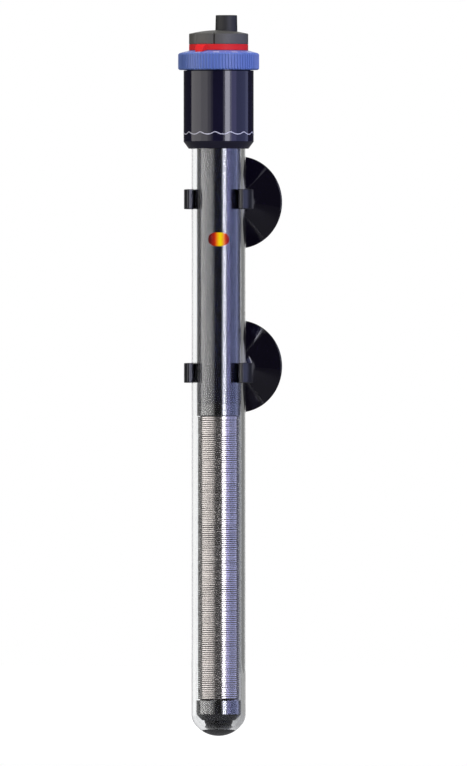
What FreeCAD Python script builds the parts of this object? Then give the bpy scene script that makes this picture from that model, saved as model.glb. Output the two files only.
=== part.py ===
import FreeCAD, Part
import math
import os
import Sketcher
from FreeCAD import Placement, Rotation, Vector

# A submersible aquarium heater, in millimetres.
#
# Its pieces are drawn about the tube's own axis, with height 0 at the lowest point of the glass and
# the lamp facing -Y. They are then set where the heater hangs: the wall of the tank is the plane
# y = 0, the origin is the centre of the upper suction cup's rim on that wall, and the lamp side is
# turned a little away from straight ahead. The clips and cups are square to the wall.

# Driving sizes
SIZES = {
    # clearances
    "seat_gap": 0.15,
    "slide_gap": 0.2,
    "running_gap": 0.3,
    "fit_gap": 0.05,
    # glass tube
    "tube_diameter": 24.0,
    "tube_wall": 1.8,
    "dome_height": 9.6,
    "dome_knuckle": 7.0,
    # rubber bumper in the dome
    "bumper_diameter": 11.6,
    "bumper_top": 6.8,
    "bumper_edge": 0.6,
    "bumper_lip": 0.5,
    "bumper_lip_height": 1.0,
    # bottom spacer
    "spacer_gap": 0.45,
    "spacer_height": 8.95,
    "spacer_foot_inset": 2.35,
    "spacer_taper_height": 2.6,
    "spacer_socket_depth": 3.0,
    # ceramic core and the wire wound round it
    "core_bore": 5.0,
    "winding_gap": 1.3,
    "winding_length": 126.1,
    "wire_diameter": 0.8,
    "wire_turns": 96,
    "wire_lead": 1.6,
    # collar between the core and the sleeve
    "collar_flange_height": 5.6,
    "collar_spigot_height": 7.4,
    "collar_socket_depth": 8.0,
    "collar_lead_hole": 5.2,
    # inner sleeve
    "sleeve_gap": 0.65,
    "sleeve_wall": 0.6,
    "sleeve_length": 114.2,
    # signal lamp and its lens
    "lamp_drop": 41.5,
    "lens_width": 9.2,
    "lens_height": 6.4,
    "lens_corner": 2.2,
    "lens_depth": 1.8,
    "lens_proud": 0.2,
    "lamp_diameter": 4.4,
    "lamp_length": 12.4,
    "lamp_gap": 0.75,
    # thermostat carrier
    "carrier_edge_gap": 0.3,
    "carrier_headroom": 3.8,
    "carrier_thickness": 1.4,
    "carrier_back": 2.2,
    "shelf_thickness": 1.6,
    "shelf_margin": 1.4,
    "shelf_left": 2.4,
    "shelf_right": 1.8,
    # bimetal strip, its bracket and the contacts
    "strip_rise": 11.0,
    "strip_over": 1.2,
    "strip_width": 3.6,
    "strip_thickness": 0.8,
    "strip_offset": 2.15,
    "strip_front": 2.4,
    "contact_diameter": 2.6,
    "contact_thickness": 0.6,
    "contact_drop": 9.0,
    "contact_margin": 0.5,
    "bracket_rise": 7.0,
    "bracket_height": 10.0,
    "bracket_width": 6.0,
    "bracket_thickness": 0.7,
    "lug_margin": 0.5,
    "rivet_diameter": 1.6,
    "rivet_head_diameter": 2.8,
    "rivet_head_height": 0.6,
    "rivet_spacing": 5.0,
    # snap magnet
    "magnet_width": 2.2,
    "magnet_height": 5.0,
    "magnet_depth": 4.4,
    "magnet_drop": 4.0,
    "magnet_offset": 0.6,
    # contact lever
    "lever_headroom": 11.0,
    "lever_offset": 1.5,
    "lever_width": 2.0,
    "lever_hub_diameter": 4.0,
    "lever_hub_depth": 4.4,
    "pivot_diameter": 1.6,
    "pivot_head_diameter": 2.8,
    "pivot_head_height": 0.6,
    # lamp resistor and suppression capacitor
    "resistor_diameter": 2.4,
    "resistor_length": 6.5,
    "resistor_rise": 42.0,
    "component_inset": 4.45,
    "capacitor_width": 6.4,
    "capacitor_height": 12.0,
    "capacitor_depth": 5.4,
    "capacitor_rise": 23.0,
    "component_lead_diameter": 0.7,
    # adjuster: spindle, pinion, plunger
    "spindle_inset": 4.2,
    "ring_teeth": 30,
    "pinion_teeth": 10,
    "gear_width": 3.0,
    "spindle_diameter": 3.0,
    "spindle_top_diameter": 2.3,
    "spindle_thread_diameter": 2.4,
    "spindle_thread_length": 8.5,
    "retainer_diameter": 5.6,
    "retainer_thickness": 0.5,
    "retainer_opening": 1.7,
    "seal_cord": 1.4,
    "plunger_width": 3.5,
    "plunger_length": 9.0,
    "plunger_nose": 1.6,
    "plunger_nose_diameter": 2.6,
    "plunger_bore_depth": 7.2,
    "guide_wall": 0.4,
    "guide_front_wall": 0.5,
    "guide_height": 4.0,
    # rubber plug in the mouth of the tube
    "plug_depth": 9.9,
    "plug_flange_height": 2.35,
    "pin_diameter": 2.0,
    "pin_length": 18.5,
    "pin_below_plug": 2.6,
    "pin_sideways": 4.2,
    "pin_front": 4.2,
    "pin_behind": 5.6,
    "lead_diameter": 0.9,
    # head housing
    "head_wall": 3.5,
    "head_overlap": 11.3,
    "head_mouth_wall": 1.15,
    "head_chamfer_height": 3.2,
    "head_height": 34.7,
    "ledge_width": 0.95,
    "neck_step": 1.45,
    "neck_height": 4.4,
    "deck_thickness": 2.2,
    "boss_height": 4.0,
    "boss_wall": 0.6,
    "cord_slack": 0.2,
    "hub_wall": 1.3,
    "hub_height": 9.2,
    "hub_offset": 3.44,
    # setting dial
    "dial_overhang": 2.35,
    "dial_rib_depth": 0.4,
    "dial_rib_width": 0.9,
    "dial_rib_crest": 0.4,
    "dial_ribs": 80,
    "dial_side_height": 7.7,
    "dial_cone_height": 0.9,
    "dial_edge": 0.3,
    # red calibration ring
    "ring_inset": 2.5,
    "ring_width": 2.05,
    "ring_height": 2.4,
    "pointer_reach": 2.9,
    "pointer_base": 6.4,
    "pointer_tip": 1.6,
    "pointer_tip_height": 0.6,
    "pointer_turn": 38.0,
    # top cap
    "cap_side_height": 4.7,
    "cap_crown_height": 1.6,
    "cap_edge": 0.3,
    "cap_spigot_drop": 2.5,
    "cap_recess_depth": 0.4,
    "cap_recess_start": 9.0,
    "cap_recess_end": 54.0,
    # cord gland
    "gland_wall": 1.7,
    "gland_top_wall": 1.55,
    "gland_rise": 6.6,
    "gland_skirt_wall": 1.45,
    "gland_web": 1.3,
    "gland_skirt": 4.1,
    "gland_edge": 0.4,
    "cord_bore": 6.4,
    # clips
    "upper_clip_drop": 22.4,
    "clip_spacing": 77.1,
    "clip_gap": 0.25,
    "clip_wall": 3.15,
    "clip_height": 8.8,
    "clip_opening": 56.0,
    "clip_lip_ease": 0.325,
    "clip_boss_diameter": 12.0,
    "clip_boss_rise": 0.8,
    "clip_boss_plate": 1.4,
    "upper_seat_drop": 1.2,
    "lower_seat_rise": 2.9,
    # suction cups
    "cup_diameter": 41.0,
    "cup_height": 9.2,
    "cup_lip_width": 1.9,
    "cup_lip_height": 1.1,
    "cup_hollow": 3.8,
    "cup_hub_diameter": 14.4,
    "cup_hub_height": 0.9,
    "cup_flare": 60.0,
    "cup_hub_fillet": 2.6,
    "cup_fillet_reach": 1.4,
    "cup_fillet_height": 2.3,
    "stem_diameter": 4.9,
    "stem_head_diameter": 6.8,
    "stem_head_height": 1.9,
    "stem_head_edge": 0.7,
    # how the heater hangs
    "front_turn": 21.0,
}

# Tooth forms: distance outwards from the pitch circle and half the tooth's width there, in modules
PINION_TOOTH = ((-1.25, 0.60), (-0.30, 0.72), (0.0, 0.70), (0.83, 0.31))
RING_TOOTH = ((1.25, 1.36), (0.0, 0.70), (-0.70, 0.47))

LEFT, RIGHT = 1, -1
OVERCUT = 1.0

doc = FreeCAD.newDocument("aquarium_heater")
sheet = doc.addObject("Spreadsheet::Sheet", "sizes")
for row, (alias, number) in enumerate(SIZES.items(), start=1):
    sheet.set(f"A{row}", alias)
    sheet.set(f"B{row}", str(number))
    sheet.setAlias(f"B{row}", alias)
doc.recompute()


# Sizes and their expressions
class Size:
    """A number together with the expression that works it out from the sheet."""

    def __init__(self, number, formula):
        self.number = number
        self.formula = formula

    def joined(self, sign, other, number):
        return Size(number, f"({self.formula} {sign} {other.formula})")

    def __add__(self, other):
        other = as_size(other)
        return self.joined("+", other, self.number + other.number)

    def __sub__(self, other):
        other = as_size(other)
        return self.joined("-", other, self.number - other.number)

    def __mul__(self, other):
        other = as_size(other)
        return self.joined("*", other, self.number * other.number)

    def __truediv__(self, other):
        other = as_size(other)
        return self.joined("/", other, self.number / other.number)

    def __radd__(self, other):
        return as_size(other) + self

    def __rsub__(self, other):
        return as_size(other) - self

    def __rmul__(self, other):
        return as_size(other) * self

    def __rtruediv__(self, other):
        return as_size(other) / self

    def __neg__(self):
        return Size(-self.number, f"(0 - {self.formula})")


def as_size(value):
    return value if isinstance(value, Size) else Size(float(value), repr(float(value)))


def root(value):
    return Size(math.sqrt(value.number), f"sqrt({value.formula})")


def cosine(degrees):
    return Size(math.cos(math.radians(degrees.number)), f"cos({degrees.formula} * 1 deg)")


def sine(degrees):
    return Size(math.sin(math.radians(degrees.number)), f"sin({degrees.formula} * 1 deg)")


class Sheet:
    """The sheet's own values, each by its name."""

    def __getattr__(self, alias):
        return Size(float(SIZES[alias]), f"sizes.{alias}")


def whole(count):
    """A number of copies, rounded to a whole one."""
    return Size(float(round(count.number)), f"round({count.formula})")


size = Sheet()


def bind(thing, name, value):
    """Give a property its number, and the expression that ties it to the sheet."""
    value = as_size(value)
    if name.startswith("."):
        name = name[1:]
    else:
        setattr(thing, name, value.number)
    if "sizes." in value.formula:
        thing.setExpression(name, value.formula)


# Sketches and features
class Bend:
    """An arc to the next point of an outline, bulging to one side of the walk."""

    def __init__(self, radius, side):
        self.radius = as_size(radius)
        self.side = side


class Round:
    """A whole circle in a sketch."""

    def __init__(self, x, y, radius):
        self.x, self.y, self.radius = as_size(x), as_size(y), as_size(radius)


def arc_between(start, end, bend):
    """The shorter arc between two points, and which of its own ends meets the start."""
    chord = end - start
    half = chord.Length / 2
    left = Vector(-chord.y, chord.x, 0).normalize()
    reach = math.sqrt(max(bend.radius.number ** 2 - half ** 2, 0.0))
    centre = (start + end) * 0.5 - left * reach * bend.side
    circle = Part.Circle(centre, Vector(0, 0, 1), bend.radius.number)
    first = math.atan2(start.y - centre.y, start.x - centre.x)
    last = math.atan2(end.y - centre.y, end.x - centre.x)
    if bend.side == LEFT:
        return Part.ArcOfCircle(circle, last, first), (2, 1)
    return Part.ArcOfCircle(circle, first, last), (1, 2)


def hold(sketch, kind, value, *where):
    """A driving constraint, bound to the sheet."""
    index = sketch.addConstraint(Sketcher.Constraint(kind, *where, value.number))
    if "sizes." in value.formula:
        sketch.setExpression(f"Constraints[{index}]", value.formula)


def draw_outline(sketch, outline):
    points = [(as_size(p[0]), as_size(p[1])) for p in outline if not isinstance(p, Bend)]
    bends = {}
    count = 0
    for item in outline:
        if isinstance(item, Bend):
            bends[count - 1] = item
        else:
            count += 1
    first = sketch.GeometryCount
    ends = []
    for i, (x, y) in enumerate(points):
        following = points[(i + 1) % count]
        start = Vector(x.number, y.number, 0)
        end = Vector(following[0].number, following[1].number, 0)
        if i in bends:
            edge, meets = arc_between(start, end, bends[i])
        else:
            edge, meets = Part.LineSegment(start, end), (1, 2)
        sketch.addGeometry(edge)
        ends.append(meets)
    for i in range(count):
        j = (i + 1) % count
        sketch.addConstraint(Sketcher.Constraint("Coincident", first + i, ends[i][1], first + j, ends[j][0]))
    for i, (x, y) in enumerate(points):
        hold(sketch, "DistanceX", x, -1, 1, first + i, ends[i][0])
        hold(sketch, "DistanceY", y, -1, 1, first + i, ends[i][0])
        if i in bends:
            hold(sketch, "Radius", bends[i].radius, first + i)


def draw_round(sketch, circle):
    centre = Vector(circle.x.number, circle.y.number, 0)
    index = sketch.addGeometry(Part.Circle(centre, Vector(0, 0, 1), circle.radius.number))
    hold(sketch, "DistanceX", circle.x, -1, 1, index, 3)
    hold(sketch, "DistanceY", circle.y, -1, 1, index, 3)
    hold(sketch, "Radius", circle.radius, index)


def origin_part(body, role):
    return next(feature for feature in body.Origin.OriginFeatures if feature.Role == role)


def sketch_on(body, name, loops, plane, offset):
    """A sketch on one of the body's own planes, moved along that plane's normal."""
    sketch = body.newObject("Sketcher::SketchObject", f"{name}_sketch")
    sketch.AttachmentSupport = (origin_part(body, plane), [""])
    sketch.MapMode = "FlatFace"
    offset = as_size(offset)
    sketch.AttachmentOffset = Placement(Vector(0, 0, offset.number), Rotation())
    bind(sketch, ".AttachmentOffset.Base.z", offset)
    for loop in loops:
        if isinstance(loop, Round):
            draw_round(sketch, loop)
        else:
            draw_outline(sketch, loop)
    return sketch


def new_body(name):
    body = doc.addObject("PartDesign::Body", name)
    body.Label = name
    return body


def turn(body, name, outline, kind="Revolution"):
    """Material turned about the body's Z axis from (radius, height) points, or cut away."""
    feature = body.newObject(f"PartDesign::{kind}", name)
    sketch = sketch_on(body, name, [outline], "XZ_Plane", 0)
    feature.Profile = sketch
    feature.ReferenceAxis = (sketch, ["V_Axis"])
    feature.Angle = 360
    body.Tip = feature
    return feature


def turned(name, outline):
    body = new_body(name)
    turn(body, f"{name}_turned", outline)
    return body


def pad(body, name, loops, start, length, plane="XY_Plane"):
    """Material from a start height for a length: up from XY, and towards the front from XZ."""
    feature = body.newObject("PartDesign::Pad", name)
    feature.Profile = sketch_on(body, name, loops, plane, start)
    bind(feature, "Length", length)
    body.Tip = feature
    return feature


def pocket(body, name, loops, start, length, plane="XY_Plane"):
    """Like pad, but the material is cut away."""
    feature = body.newObject("PartDesign::Pocket", name)
    feature.Profile = sketch_on(body, name, loops, plane, start)
    feature.Reversed = True
    bind(feature, "Length", length)
    body.Tip = feature
    return feature


def padded(name, loops, start, length, plane="XY_Plane"):
    body = new_body(name)
    pad(body, f"{name}_pad", loops, start, length, plane)
    return body


def repeat_round(body, name, feature, count):
    pattern = body.newObject("PartDesign::PolarPattern", name)
    pattern.Originals = [feature]
    pattern.Axis = (origin_part(body, "Z_Axis"), [""])
    pattern.Angle = 360
    pattern.Occurrences = int(count.number)
    pattern.setExpression("Occurrences", count.formula)
    body.Tip = pattern
    return pattern


def box(x0, x1, y0, y1):
    return [(x0, y0), (x1, y0), (x1, y1), (x0, y1)]


def tooth(form, pitch_radius):
    """A tooth pointing along +X, from its root to its tip and back."""
    side = [(pitch_radius + out * gear_module, wide * gear_module) for out, wide in form]
    return [(x, -y) for x, y in side] + [(x, y) for x, y in reversed(side)]


# Radii, from the glass inwards
tube_radius = size.tube_diameter / 2
bore_radius = tube_radius - size.tube_wall
spacer_radius = bore_radius - size.spacer_gap
core_radius = bore_radius - size.winding_gap - size.wire_diameter - size.seat_gap
sleeve_radius = bore_radius - size.sleeve_gap
sleeve_bore = sleeve_radius - size.sleeve_wall

# Heights up the tube, from the dome to the head
spacer_bottom = size.bumper_top + size.seat_gap
spacer_top = spacer_bottom + size.spacer_height
collar_bottom = spacer_top + size.winding_length
flange_top = collar_bottom + size.collar_flange_height
collar_top = flange_top + size.collar_spigot_height
sleeve_bottom = flange_top + size.seat_gap
sleeve_top = sleeve_bottom + size.sleeve_length
plug_bottom = sleeve_top + size.seat_gap
tube_top = plug_bottom + size.plug_depth
plug_shoulder = tube_top + size.seat_gap
plug_top = plug_shoulder + size.plug_flange_height
head_bottom = tube_top - size.head_overlap
head_shoulder = head_bottom + size.head_height
deck_top = head_shoulder + size.neck_height
deck_bottom = deck_top - size.deck_thickness

# Where the heater hangs
clip_bore = tube_radius + size.clip_gap
clip_radius = clip_bore + size.clip_wall
boss_face = clip_radius + size.clip_boss_rise
wall_distance = boss_face + size.slide_gap + size.cup_height
upper_clip_height = head_bottom - size.upper_clip_drop
lower_clip_height = upper_clip_height - size.clip_spacing
upper_cup_height = upper_clip_height - size.upper_seat_drop
lower_cup_height = lower_clip_height + size.lower_seat_rise


def hang(piece, x=0, y=0, turn_by=0):
    """Set a piece that is drawn about a line parallel to the tube's axis, x sideways and y back."""
    x, y = as_size(x), as_size(y)
    angle = size.front_turn + turn_by
    across = x * cosine(size.front_turn) - y * sine(size.front_turn)
    back = x * sine(size.front_turn) + y * cosine(size.front_turn) - wall_distance
    place(piece, across, back, -upper_cup_height, Vector(0, 0, 1), angle)


def place(piece, x, y, z, axis, angle):
    x, y, z, angle = as_size(x), as_size(y), as_size(z), as_size(angle)
    piece.Placement = Placement(Vector(x.number, y.number, z.number), Rotation(axis, angle.number))
    bind(piece, ".Placement.Base.x", x)
    bind(piece, ".Placement.Base.y", y)
    bind(piece, ".Placement.Base.z", z)
    bind(piece, ".Placement.Rotation.Angle", angle)


# Two tangent arcs, a knuckle and a crown, make the tube's dome and the lamp's oval
def crown_radius(half_width, rise, knuckle):
    inset = half_width - knuckle
    return (inset * inset + rise * rise - knuckle * knuckle) / (2 * (rise - knuckle))


def crown_meets_knuckle(half_width, rise, knuckle, wall=0):
    crown = crown_radius(half_width, rise, knuckle)
    share = (crown - wall) / (crown - knuckle)
    return share * (half_width - knuckle), crown - share * (crown - rise)


# Glass tube
dome = (tube_radius, size.dome_height, size.dome_knuckle)
dome_crown = crown_radius(*dome)


def make_glass_tube():
    tube = turned("glass_tube", [
        (0, 0),
        Bend(dome_crown, RIGHT),
        crown_meets_knuckle(*dome),
        Bend(size.dome_knuckle, RIGHT),
        (tube_radius, size.dome_height),
        (tube_radius, tube_top),
        (bore_radius, tube_top),
        (bore_radius, size.dome_height),
        Bend(size.dome_knuckle - size.tube_wall, LEFT),
        crown_meets_knuckle(*dome, size.tube_wall),
        Bend(dome_crown - size.tube_wall, LEFT),
        (0, size.tube_wall),
    ])
    hang(tube)
    return tube


# Rubber bumper, shaped to the inside of the dome
def make_bottom_bumper():
    radius = size.bumper_diameter / 2
    foot_radius = radius - size.bumper_edge
    crown = dome_crown - size.tube_wall - size.seat_gap
    foot = dome_crown - root(crown * crown - foot_radius * foot_radius)
    lip = size.bumper_top - size.bumper_lip_height
    bumper = turned("bottom_bumper", [
        (0, size.tube_wall + size.seat_gap),
        Bend(crown, RIGHT),
        (foot_radius, foot),
        (radius, foot + 2 * size.bumper_edge),
        (radius, lip - size.bumper_lip),
        (radius + size.bumper_lip, lip),
        (radius + size.bumper_lip, size.bumper_top),
        (0, size.bumper_top),
    ])
    hang(bumper)
    return bumper


# Heating element: spacer, core, collar and wire
def make_bottom_spacer():
    socket = core_radius + size.seat_gap
    floor = spacer_top - size.spacer_socket_depth
    spacer = turned("bottom_spacer", [
        (0, spacer_bottom),
        (spacer_radius - size.spacer_foot_inset, spacer_bottom),
        (spacer_radius, spacer_bottom + size.spacer_taper_height),
        (spacer_radius, spacer_top),
        (socket, spacer_top),
        (socket, floor),
        (0, floor),
    ])
    hang(spacer)
    return spacer


def make_ceramic_core():
    bottom = spacer_top - size.spacer_socket_depth + size.seat_gap
    top = collar_bottom + size.collar_socket_depth - size.seat_gap
    core = turned("ceramic_core", [
        (size.core_bore / 2, bottom),
        (core_radius, bottom),
        (core_radius, top),
        (size.core_bore / 2, top),
    ])
    hang(core)
    return core


def make_core_collar():
    socket = core_radius + size.seat_gap
    ceiling = collar_bottom + size.collar_socket_depth
    hole = size.collar_lead_hole / 2
    spigot = sleeve_bore - size.slide_gap
    collar = turned("core_collar", [
        (socket, collar_bottom),
        (sleeve_radius, collar_bottom),
        (sleeve_radius, flange_top),
        (spigot, flange_top),
        (spigot, collar_top),
        (hole, collar_top),
        (hole, ceiling),
        (socket, ceiling),
    ])
    hang(collar)
    return collar


def middle_of_arc(start, tangent, end):
    """The middle point of the arc that leaves start along tangent and reaches end."""
    chord = end - start
    along = chord * (1 / chord.Length)
    across = tangent - along * tangent.dot(along)
    slope = math.atan2(across.Length, tangent.dot(along))
    return (start + end) * 0.5 + across.normalize() * (chord.Length / 2 * math.tan(slope / 2))


def biarc(start, first_tangent, end, last_tangent):
    """Two arcs that join smoothly and leave and arrive along the given directions."""
    chord = end - start
    both = first_tangent + last_tangent
    square = 2 * (first_tangent.dot(last_tangent) - 1)
    linear = -2 * chord.dot(both)
    constant = chord.dot(chord)
    reach = (-linear - math.sqrt(linear ** 2 - 4 * square * constant)) / (2 * square)
    meet = (start + end + (first_tangent - last_tangent) * reach) * 0.5
    edges = []
    for a, tangent, b in ((start, first_tangent, meet), (end, last_tangent * -1, meet)):
        middle = middle_of_arc(a, tangent, b)
        ends = (a, middle, b) if a is start else (b, middle, a)
        edges.append(Part.Arc(*ends).toShape())
    return edges


def make_heating_wire():
    """One wire: straight up off the spacer, round the core, and straight up into the collar."""
    bottom = spacer_top.number
    top = collar_bottom.number
    thickness = SIZES["wire_diameter"]
    radius = core_radius.number + SIZES["seat_gap"] + thickness / 2
    turns = round(SIZES["wire_turns"])
    lead = SIZES["wire_lead"]
    rise = top - bottom - 2 * (thickness + lead)
    pitch = rise / turns
    steepness = math.atan(pitch / (2 * math.pi * radius))
    lead_angle = lead / radius

    def on_helix(angle):
        height = bottom + thickness + lead + pitch * angle / (2 * math.pi)
        turned_by = angle + lead_angle
        point = Vector(radius * math.cos(turned_by), radius * math.sin(turned_by), height)
        level = math.cos(steepness)
        return point, Vector(-math.sin(turned_by) * level, math.cos(turned_by) * level, math.sin(steepness))

    up = Vector(0, 0, 1)
    foot = Vector(radius, 0, bottom)
    bend_start = foot + up * thickness
    last_angle = 2 * math.pi * turns
    end_angle = last_angle + 2 * lead_angle
    head = Vector(radius * math.cos(end_angle), radius * math.sin(end_angle), top)
    bend_end = head - up * thickness
    edges = [Part.LineSegment(foot, bend_start).toShape()]
    edges += biarc(bend_start, up, *on_helix(0))
    for half_turn in range(2 * turns):
        start, leaves = on_helix(math.pi * half_turn)
        end, arrives = on_helix(math.pi * (half_turn + 1))
        edges += biarc(start, leaves, end, arrives)
    edges += biarc(*on_helix(last_angle), bend_end, up)
    edges.append(Part.LineSegment(bend_end, head).toShape())
    spine = Part.Wire(edges)
    section = Part.Wire([Part.Circle(foot, up, thickness / 2).toShape()])
    wire = doc.addObject("Part::Feature", "heating_wire")
    wire.Label = "heating_wire"
    wire.Shape = spine.makePipeShell([section], True, False)
    hang(wire)

    # the least gap from the wire to itself, on points along its middle line
    step = thickness / 2
    line = spine.discretize(Number=int(spine.Length / step))
    apart = int(3 * radius / step)
    per_turn = int(2 * math.pi * radius / step)
    least = min((line[i] - line[j]).Length
                for i in range(len(line))
                for j in range(i + apart, min(i + per_turn + apart, len(line))))
    swept = spine.Length * math.pi * thickness ** 2 / 4
    print(f"heating wire: {turns} turns, {spine.Length:.1f} mm long, "
          f"least gap to itself {least - thickness:.3f} mm, "
          f"volume over section times length {wire.Shape.Volume / swept:.4f}")
    return wire


# Inner sleeve with the lamp's window
lamp_height = sleeve_top - size.lamp_drop
lamp_radius = size.lamp_diameter / 2
lens_inside = sleeve_radius + size.lens_proud - size.lens_depth
lamp_forward = lens_inside - size.lamp_gap - lamp_radius


def lamp_oval(gap=0):
    """The oval of the window, or of the lens in it, about the lamp's centre."""
    half_width = size.lens_width / 2 - gap
    half_height = size.lens_height / 2 - gap
    corner = size.lens_corner - gap
    crown = crown_radius(half_width, half_height, corner)
    x, rise = crown_meets_knuckle(half_width, half_height, corner)
    up = half_height - rise
    return [
        (x, lamp_height - up),
        Bend(corner, RIGHT),
        (x, lamp_height + up),
        Bend(crown, RIGHT),
        (-x, lamp_height + up),
        Bend(corner, RIGHT),
        (-x, lamp_height - up),
        Bend(crown, RIGHT),
    ]


def make_inner_sleeve():
    sleeve = turned("inner_sleeve", [
        (sleeve_bore, sleeve_bottom),
        (sleeve_radius, sleeve_bottom),
        (sleeve_radius, sleeve_top),
        (sleeve_bore, sleeve_top),
    ])
    pocket(sleeve, "lamp_window", [lamp_oval()], 0, sleeve_radius + OVERCUT, "XZ_Plane")
    hang(sleeve)
    return sleeve


def make_lamp_lens():
    """An oval cut out of a tube, so that its faces follow the sleeve."""
    oval = padded("lens_oval", [lamp_oval(size.seat_gap)], 0, sleeve_radius + OVERCUT, "XZ_Plane")
    outside = sleeve_radius + size.lens_proud
    shell = turned("lens_shell", [
        (lens_inside, lamp_height - size.lens_height),
        (outside, lamp_height - size.lens_height),
        (outside, lamp_height + size.lens_height),
        (lens_inside, lamp_height + size.lens_height),
    ])
    lens = doc.addObject("Part::Common", "lamp_lens")
    lens.Label = "lamp_lens"
    lens.Base = shell
    lens.Tool = oval
    hang(lens)
    return lens


def make_neon_lamp():
    bottom = lamp_height - size.lamp_length / 2
    top = lamp_height + size.lamp_length / 2
    lamp = turned("neon_lamp", [
        (0, bottom),
        (lamp_radius, bottom),
        (lamp_radius, top - lamp_radius),
        Bend(lamp_radius, RIGHT),
        (0, top),
    ])
    hang(lamp, 0, -lamp_forward)
    return lamp


# Thermostat, on a carrier plate that stands on the collar
carrier_bottom = collar_top + size.seat_gap
carrier_top = sleeve_top - size.carrier_headroom
carrier_front = size.carrier_back
carrier_rear = carrier_front + size.carrier_thickness
spindle_offset = bore_radius - size.spindle_inset
contact_radius = size.contact_diameter / 2
lever_height = carrier_top - size.lever_headroom
contact_height = lever_height - size.contact_drop
component_x = size.component_inset - sleeve_bore
strip_left = size.strip_offset
strip_right = strip_left + size.strip_thickness
strip_front = -size.strip_front
strip_rear = strip_front + size.strip_width
strip_middle = strip_front + size.strip_width / 2
strip_bottom = carrier_bottom + size.strip_rise
strip_top = contact_height + contact_radius + size.strip_over
bracket_left = strip_left - size.slide_gap - size.bracket_thickness
bracket_right = bracket_left + size.bracket_width
bracket_bottom = carrier_bottom + size.bracket_rise
bracket_top = bracket_bottom + size.bracket_height
bracket_front = carrier_front - size.bracket_thickness
rivet_column = (strip_right + size.slide_gap + size.bracket_thickness + bracket_right) / 2
rivet_rows = [
    bracket_bottom + size.bracket_height / 2 - size.rivet_spacing / 2,
    bracket_bottom + size.bracket_height / 2 + size.rivet_spacing / 2,
]
lever_x = -size.lever_offset
plunger_tip = lever_height + size.lever_width / 2 + size.slide_gap
plunger_top = plunger_tip + size.plunger_nose + size.plunger_length
thread_bottom = plunger_top - size.plunger_bore_depth + size.lever_width / 2


def make_thermostat_carrier():
    half = root(sleeve_bore * sleeve_bore - carrier_rear * carrier_rear) - size.carrier_edge_gap
    carrier = padded("thermostat_carrier", [box(-half, half, carrier_front, carrier_rear)],
                     carrier_bottom, carrier_top - carrier_bottom)
    shelf = lamp_height - size.lamp_length / 2 - size.seat_gap - size.shelf_thickness
    shelf_front = lamp_forward + size.shelf_margin
    pad(carrier, "lamp_shelf", [box(-size.shelf_left, size.shelf_right, -shelf_front, carrier_front)],
        shelf, size.shelf_thickness)
    guide = plunger_tip + size.plunger_nose + size.plunger_length / 2 - size.guide_height / 2
    hole = size.plunger_width / 2 + size.seat_gap
    guide_half = hole + size.guide_wall
    guide_front = hole + size.guide_front_wall
    pad(carrier, "plunger_guide",
        [box(-spindle_offset - guide_half, -spindle_offset + guide_half, -guide_front, carrier_front)],
        guide, size.guide_height)
    pocket(carrier, "plunger_way",
           [box(-spindle_offset - hole, -spindle_offset + hole, -hole, hole)],
           guide - OVERCUT, size.guide_height + 2 * OVERCUT)
    holes = [Round(rivet_column, row, size.rivet_diameter / 2 + size.fit_gap) for row in rivet_rows]
    holes.append(Round(lever_x, lever_height, size.pivot_diameter / 2 + size.fit_gap))
    pocket(carrier, "rivet_holes", holes,
           -carrier_rear - OVERCUT, size.carrier_thickness + 2 * OVERCUT, "XZ_Plane")
    hang(carrier)
    return carrier


def make_strip_bracket():
    bracket = padded("strip_bracket", [box(bracket_left, bracket_right, bracket_front, carrier_front)],
                     bracket_bottom, size.bracket_height)
    outer_jaw = strip_right + size.slide_gap
    lug_right = size.pin_sideways + size.lead_diameter / 2 + size.lug_margin
    lug_front = size.pin_front + size.lead_diameter / 2 + size.lug_margin
    pad(bracket, "jaws", [
        box(bracket_left, bracket_left + size.bracket_thickness, strip_front, bracket_front),
        box(outer_jaw, outer_jaw + size.bracket_thickness, strip_front, bracket_front),
    ], bracket_bottom, size.bracket_height)
    pad(bracket, "lug", [box(outer_jaw, lug_right, -lug_front, bracket_front)],
        bracket_top - size.bracket_thickness, size.bracket_thickness)
    holes = [Round(rivet_column, row, size.rivet_diameter / 2 + size.fit_gap) for row in rivet_rows]
    pocket(bracket, "bracket_holes", holes,
           -carrier_front - OVERCUT, size.bracket_thickness + 2 * OVERCUT, "XZ_Plane")
    hang(bracket)
    return bracket


def make_rivets():
    """Two rivets through the carrier and the bracket."""
    length = size.bracket_thickness + size.carrier_thickness
    head = size.rivet_head_diameter / 2
    shank = size.rivet_diameter / 2
    rivets = new_body("rivets")
    shanks = [Round(rivet_column, row, shank) for row in rivet_rows]
    heads = [Round(rivet_column, row, head) for row in rivet_rows]
    rivets.AllowCompound = True
    pad(rivets, "rear_heads", heads, -carrier_rear - size.rivet_head_height,
        size.rivet_head_height, "XZ_Plane")
    pad(rivets, "shanks", shanks, -carrier_rear, length, "XZ_Plane")
    pad(rivets, "front_heads", heads, -bracket_front, size.rivet_head_height, "XZ_Plane")
    hang(rivets)
    return rivets


def make_bimetal_strip():
    strip = padded("bimetal_strip", [box(strip_left, strip_right, strip_front, strip_rear)],
                   strip_bottom, strip_top - strip_bottom)
    hang(strip)
    return strip


def make_contact(name, start):
    """A round contact whose flat faces look sideways."""
    contact = padded(name, [Round(strip_middle, contact_height, contact_radius)],
                     start, size.contact_thickness, "YZ_Plane")
    hang(contact)
    return contact


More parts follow.
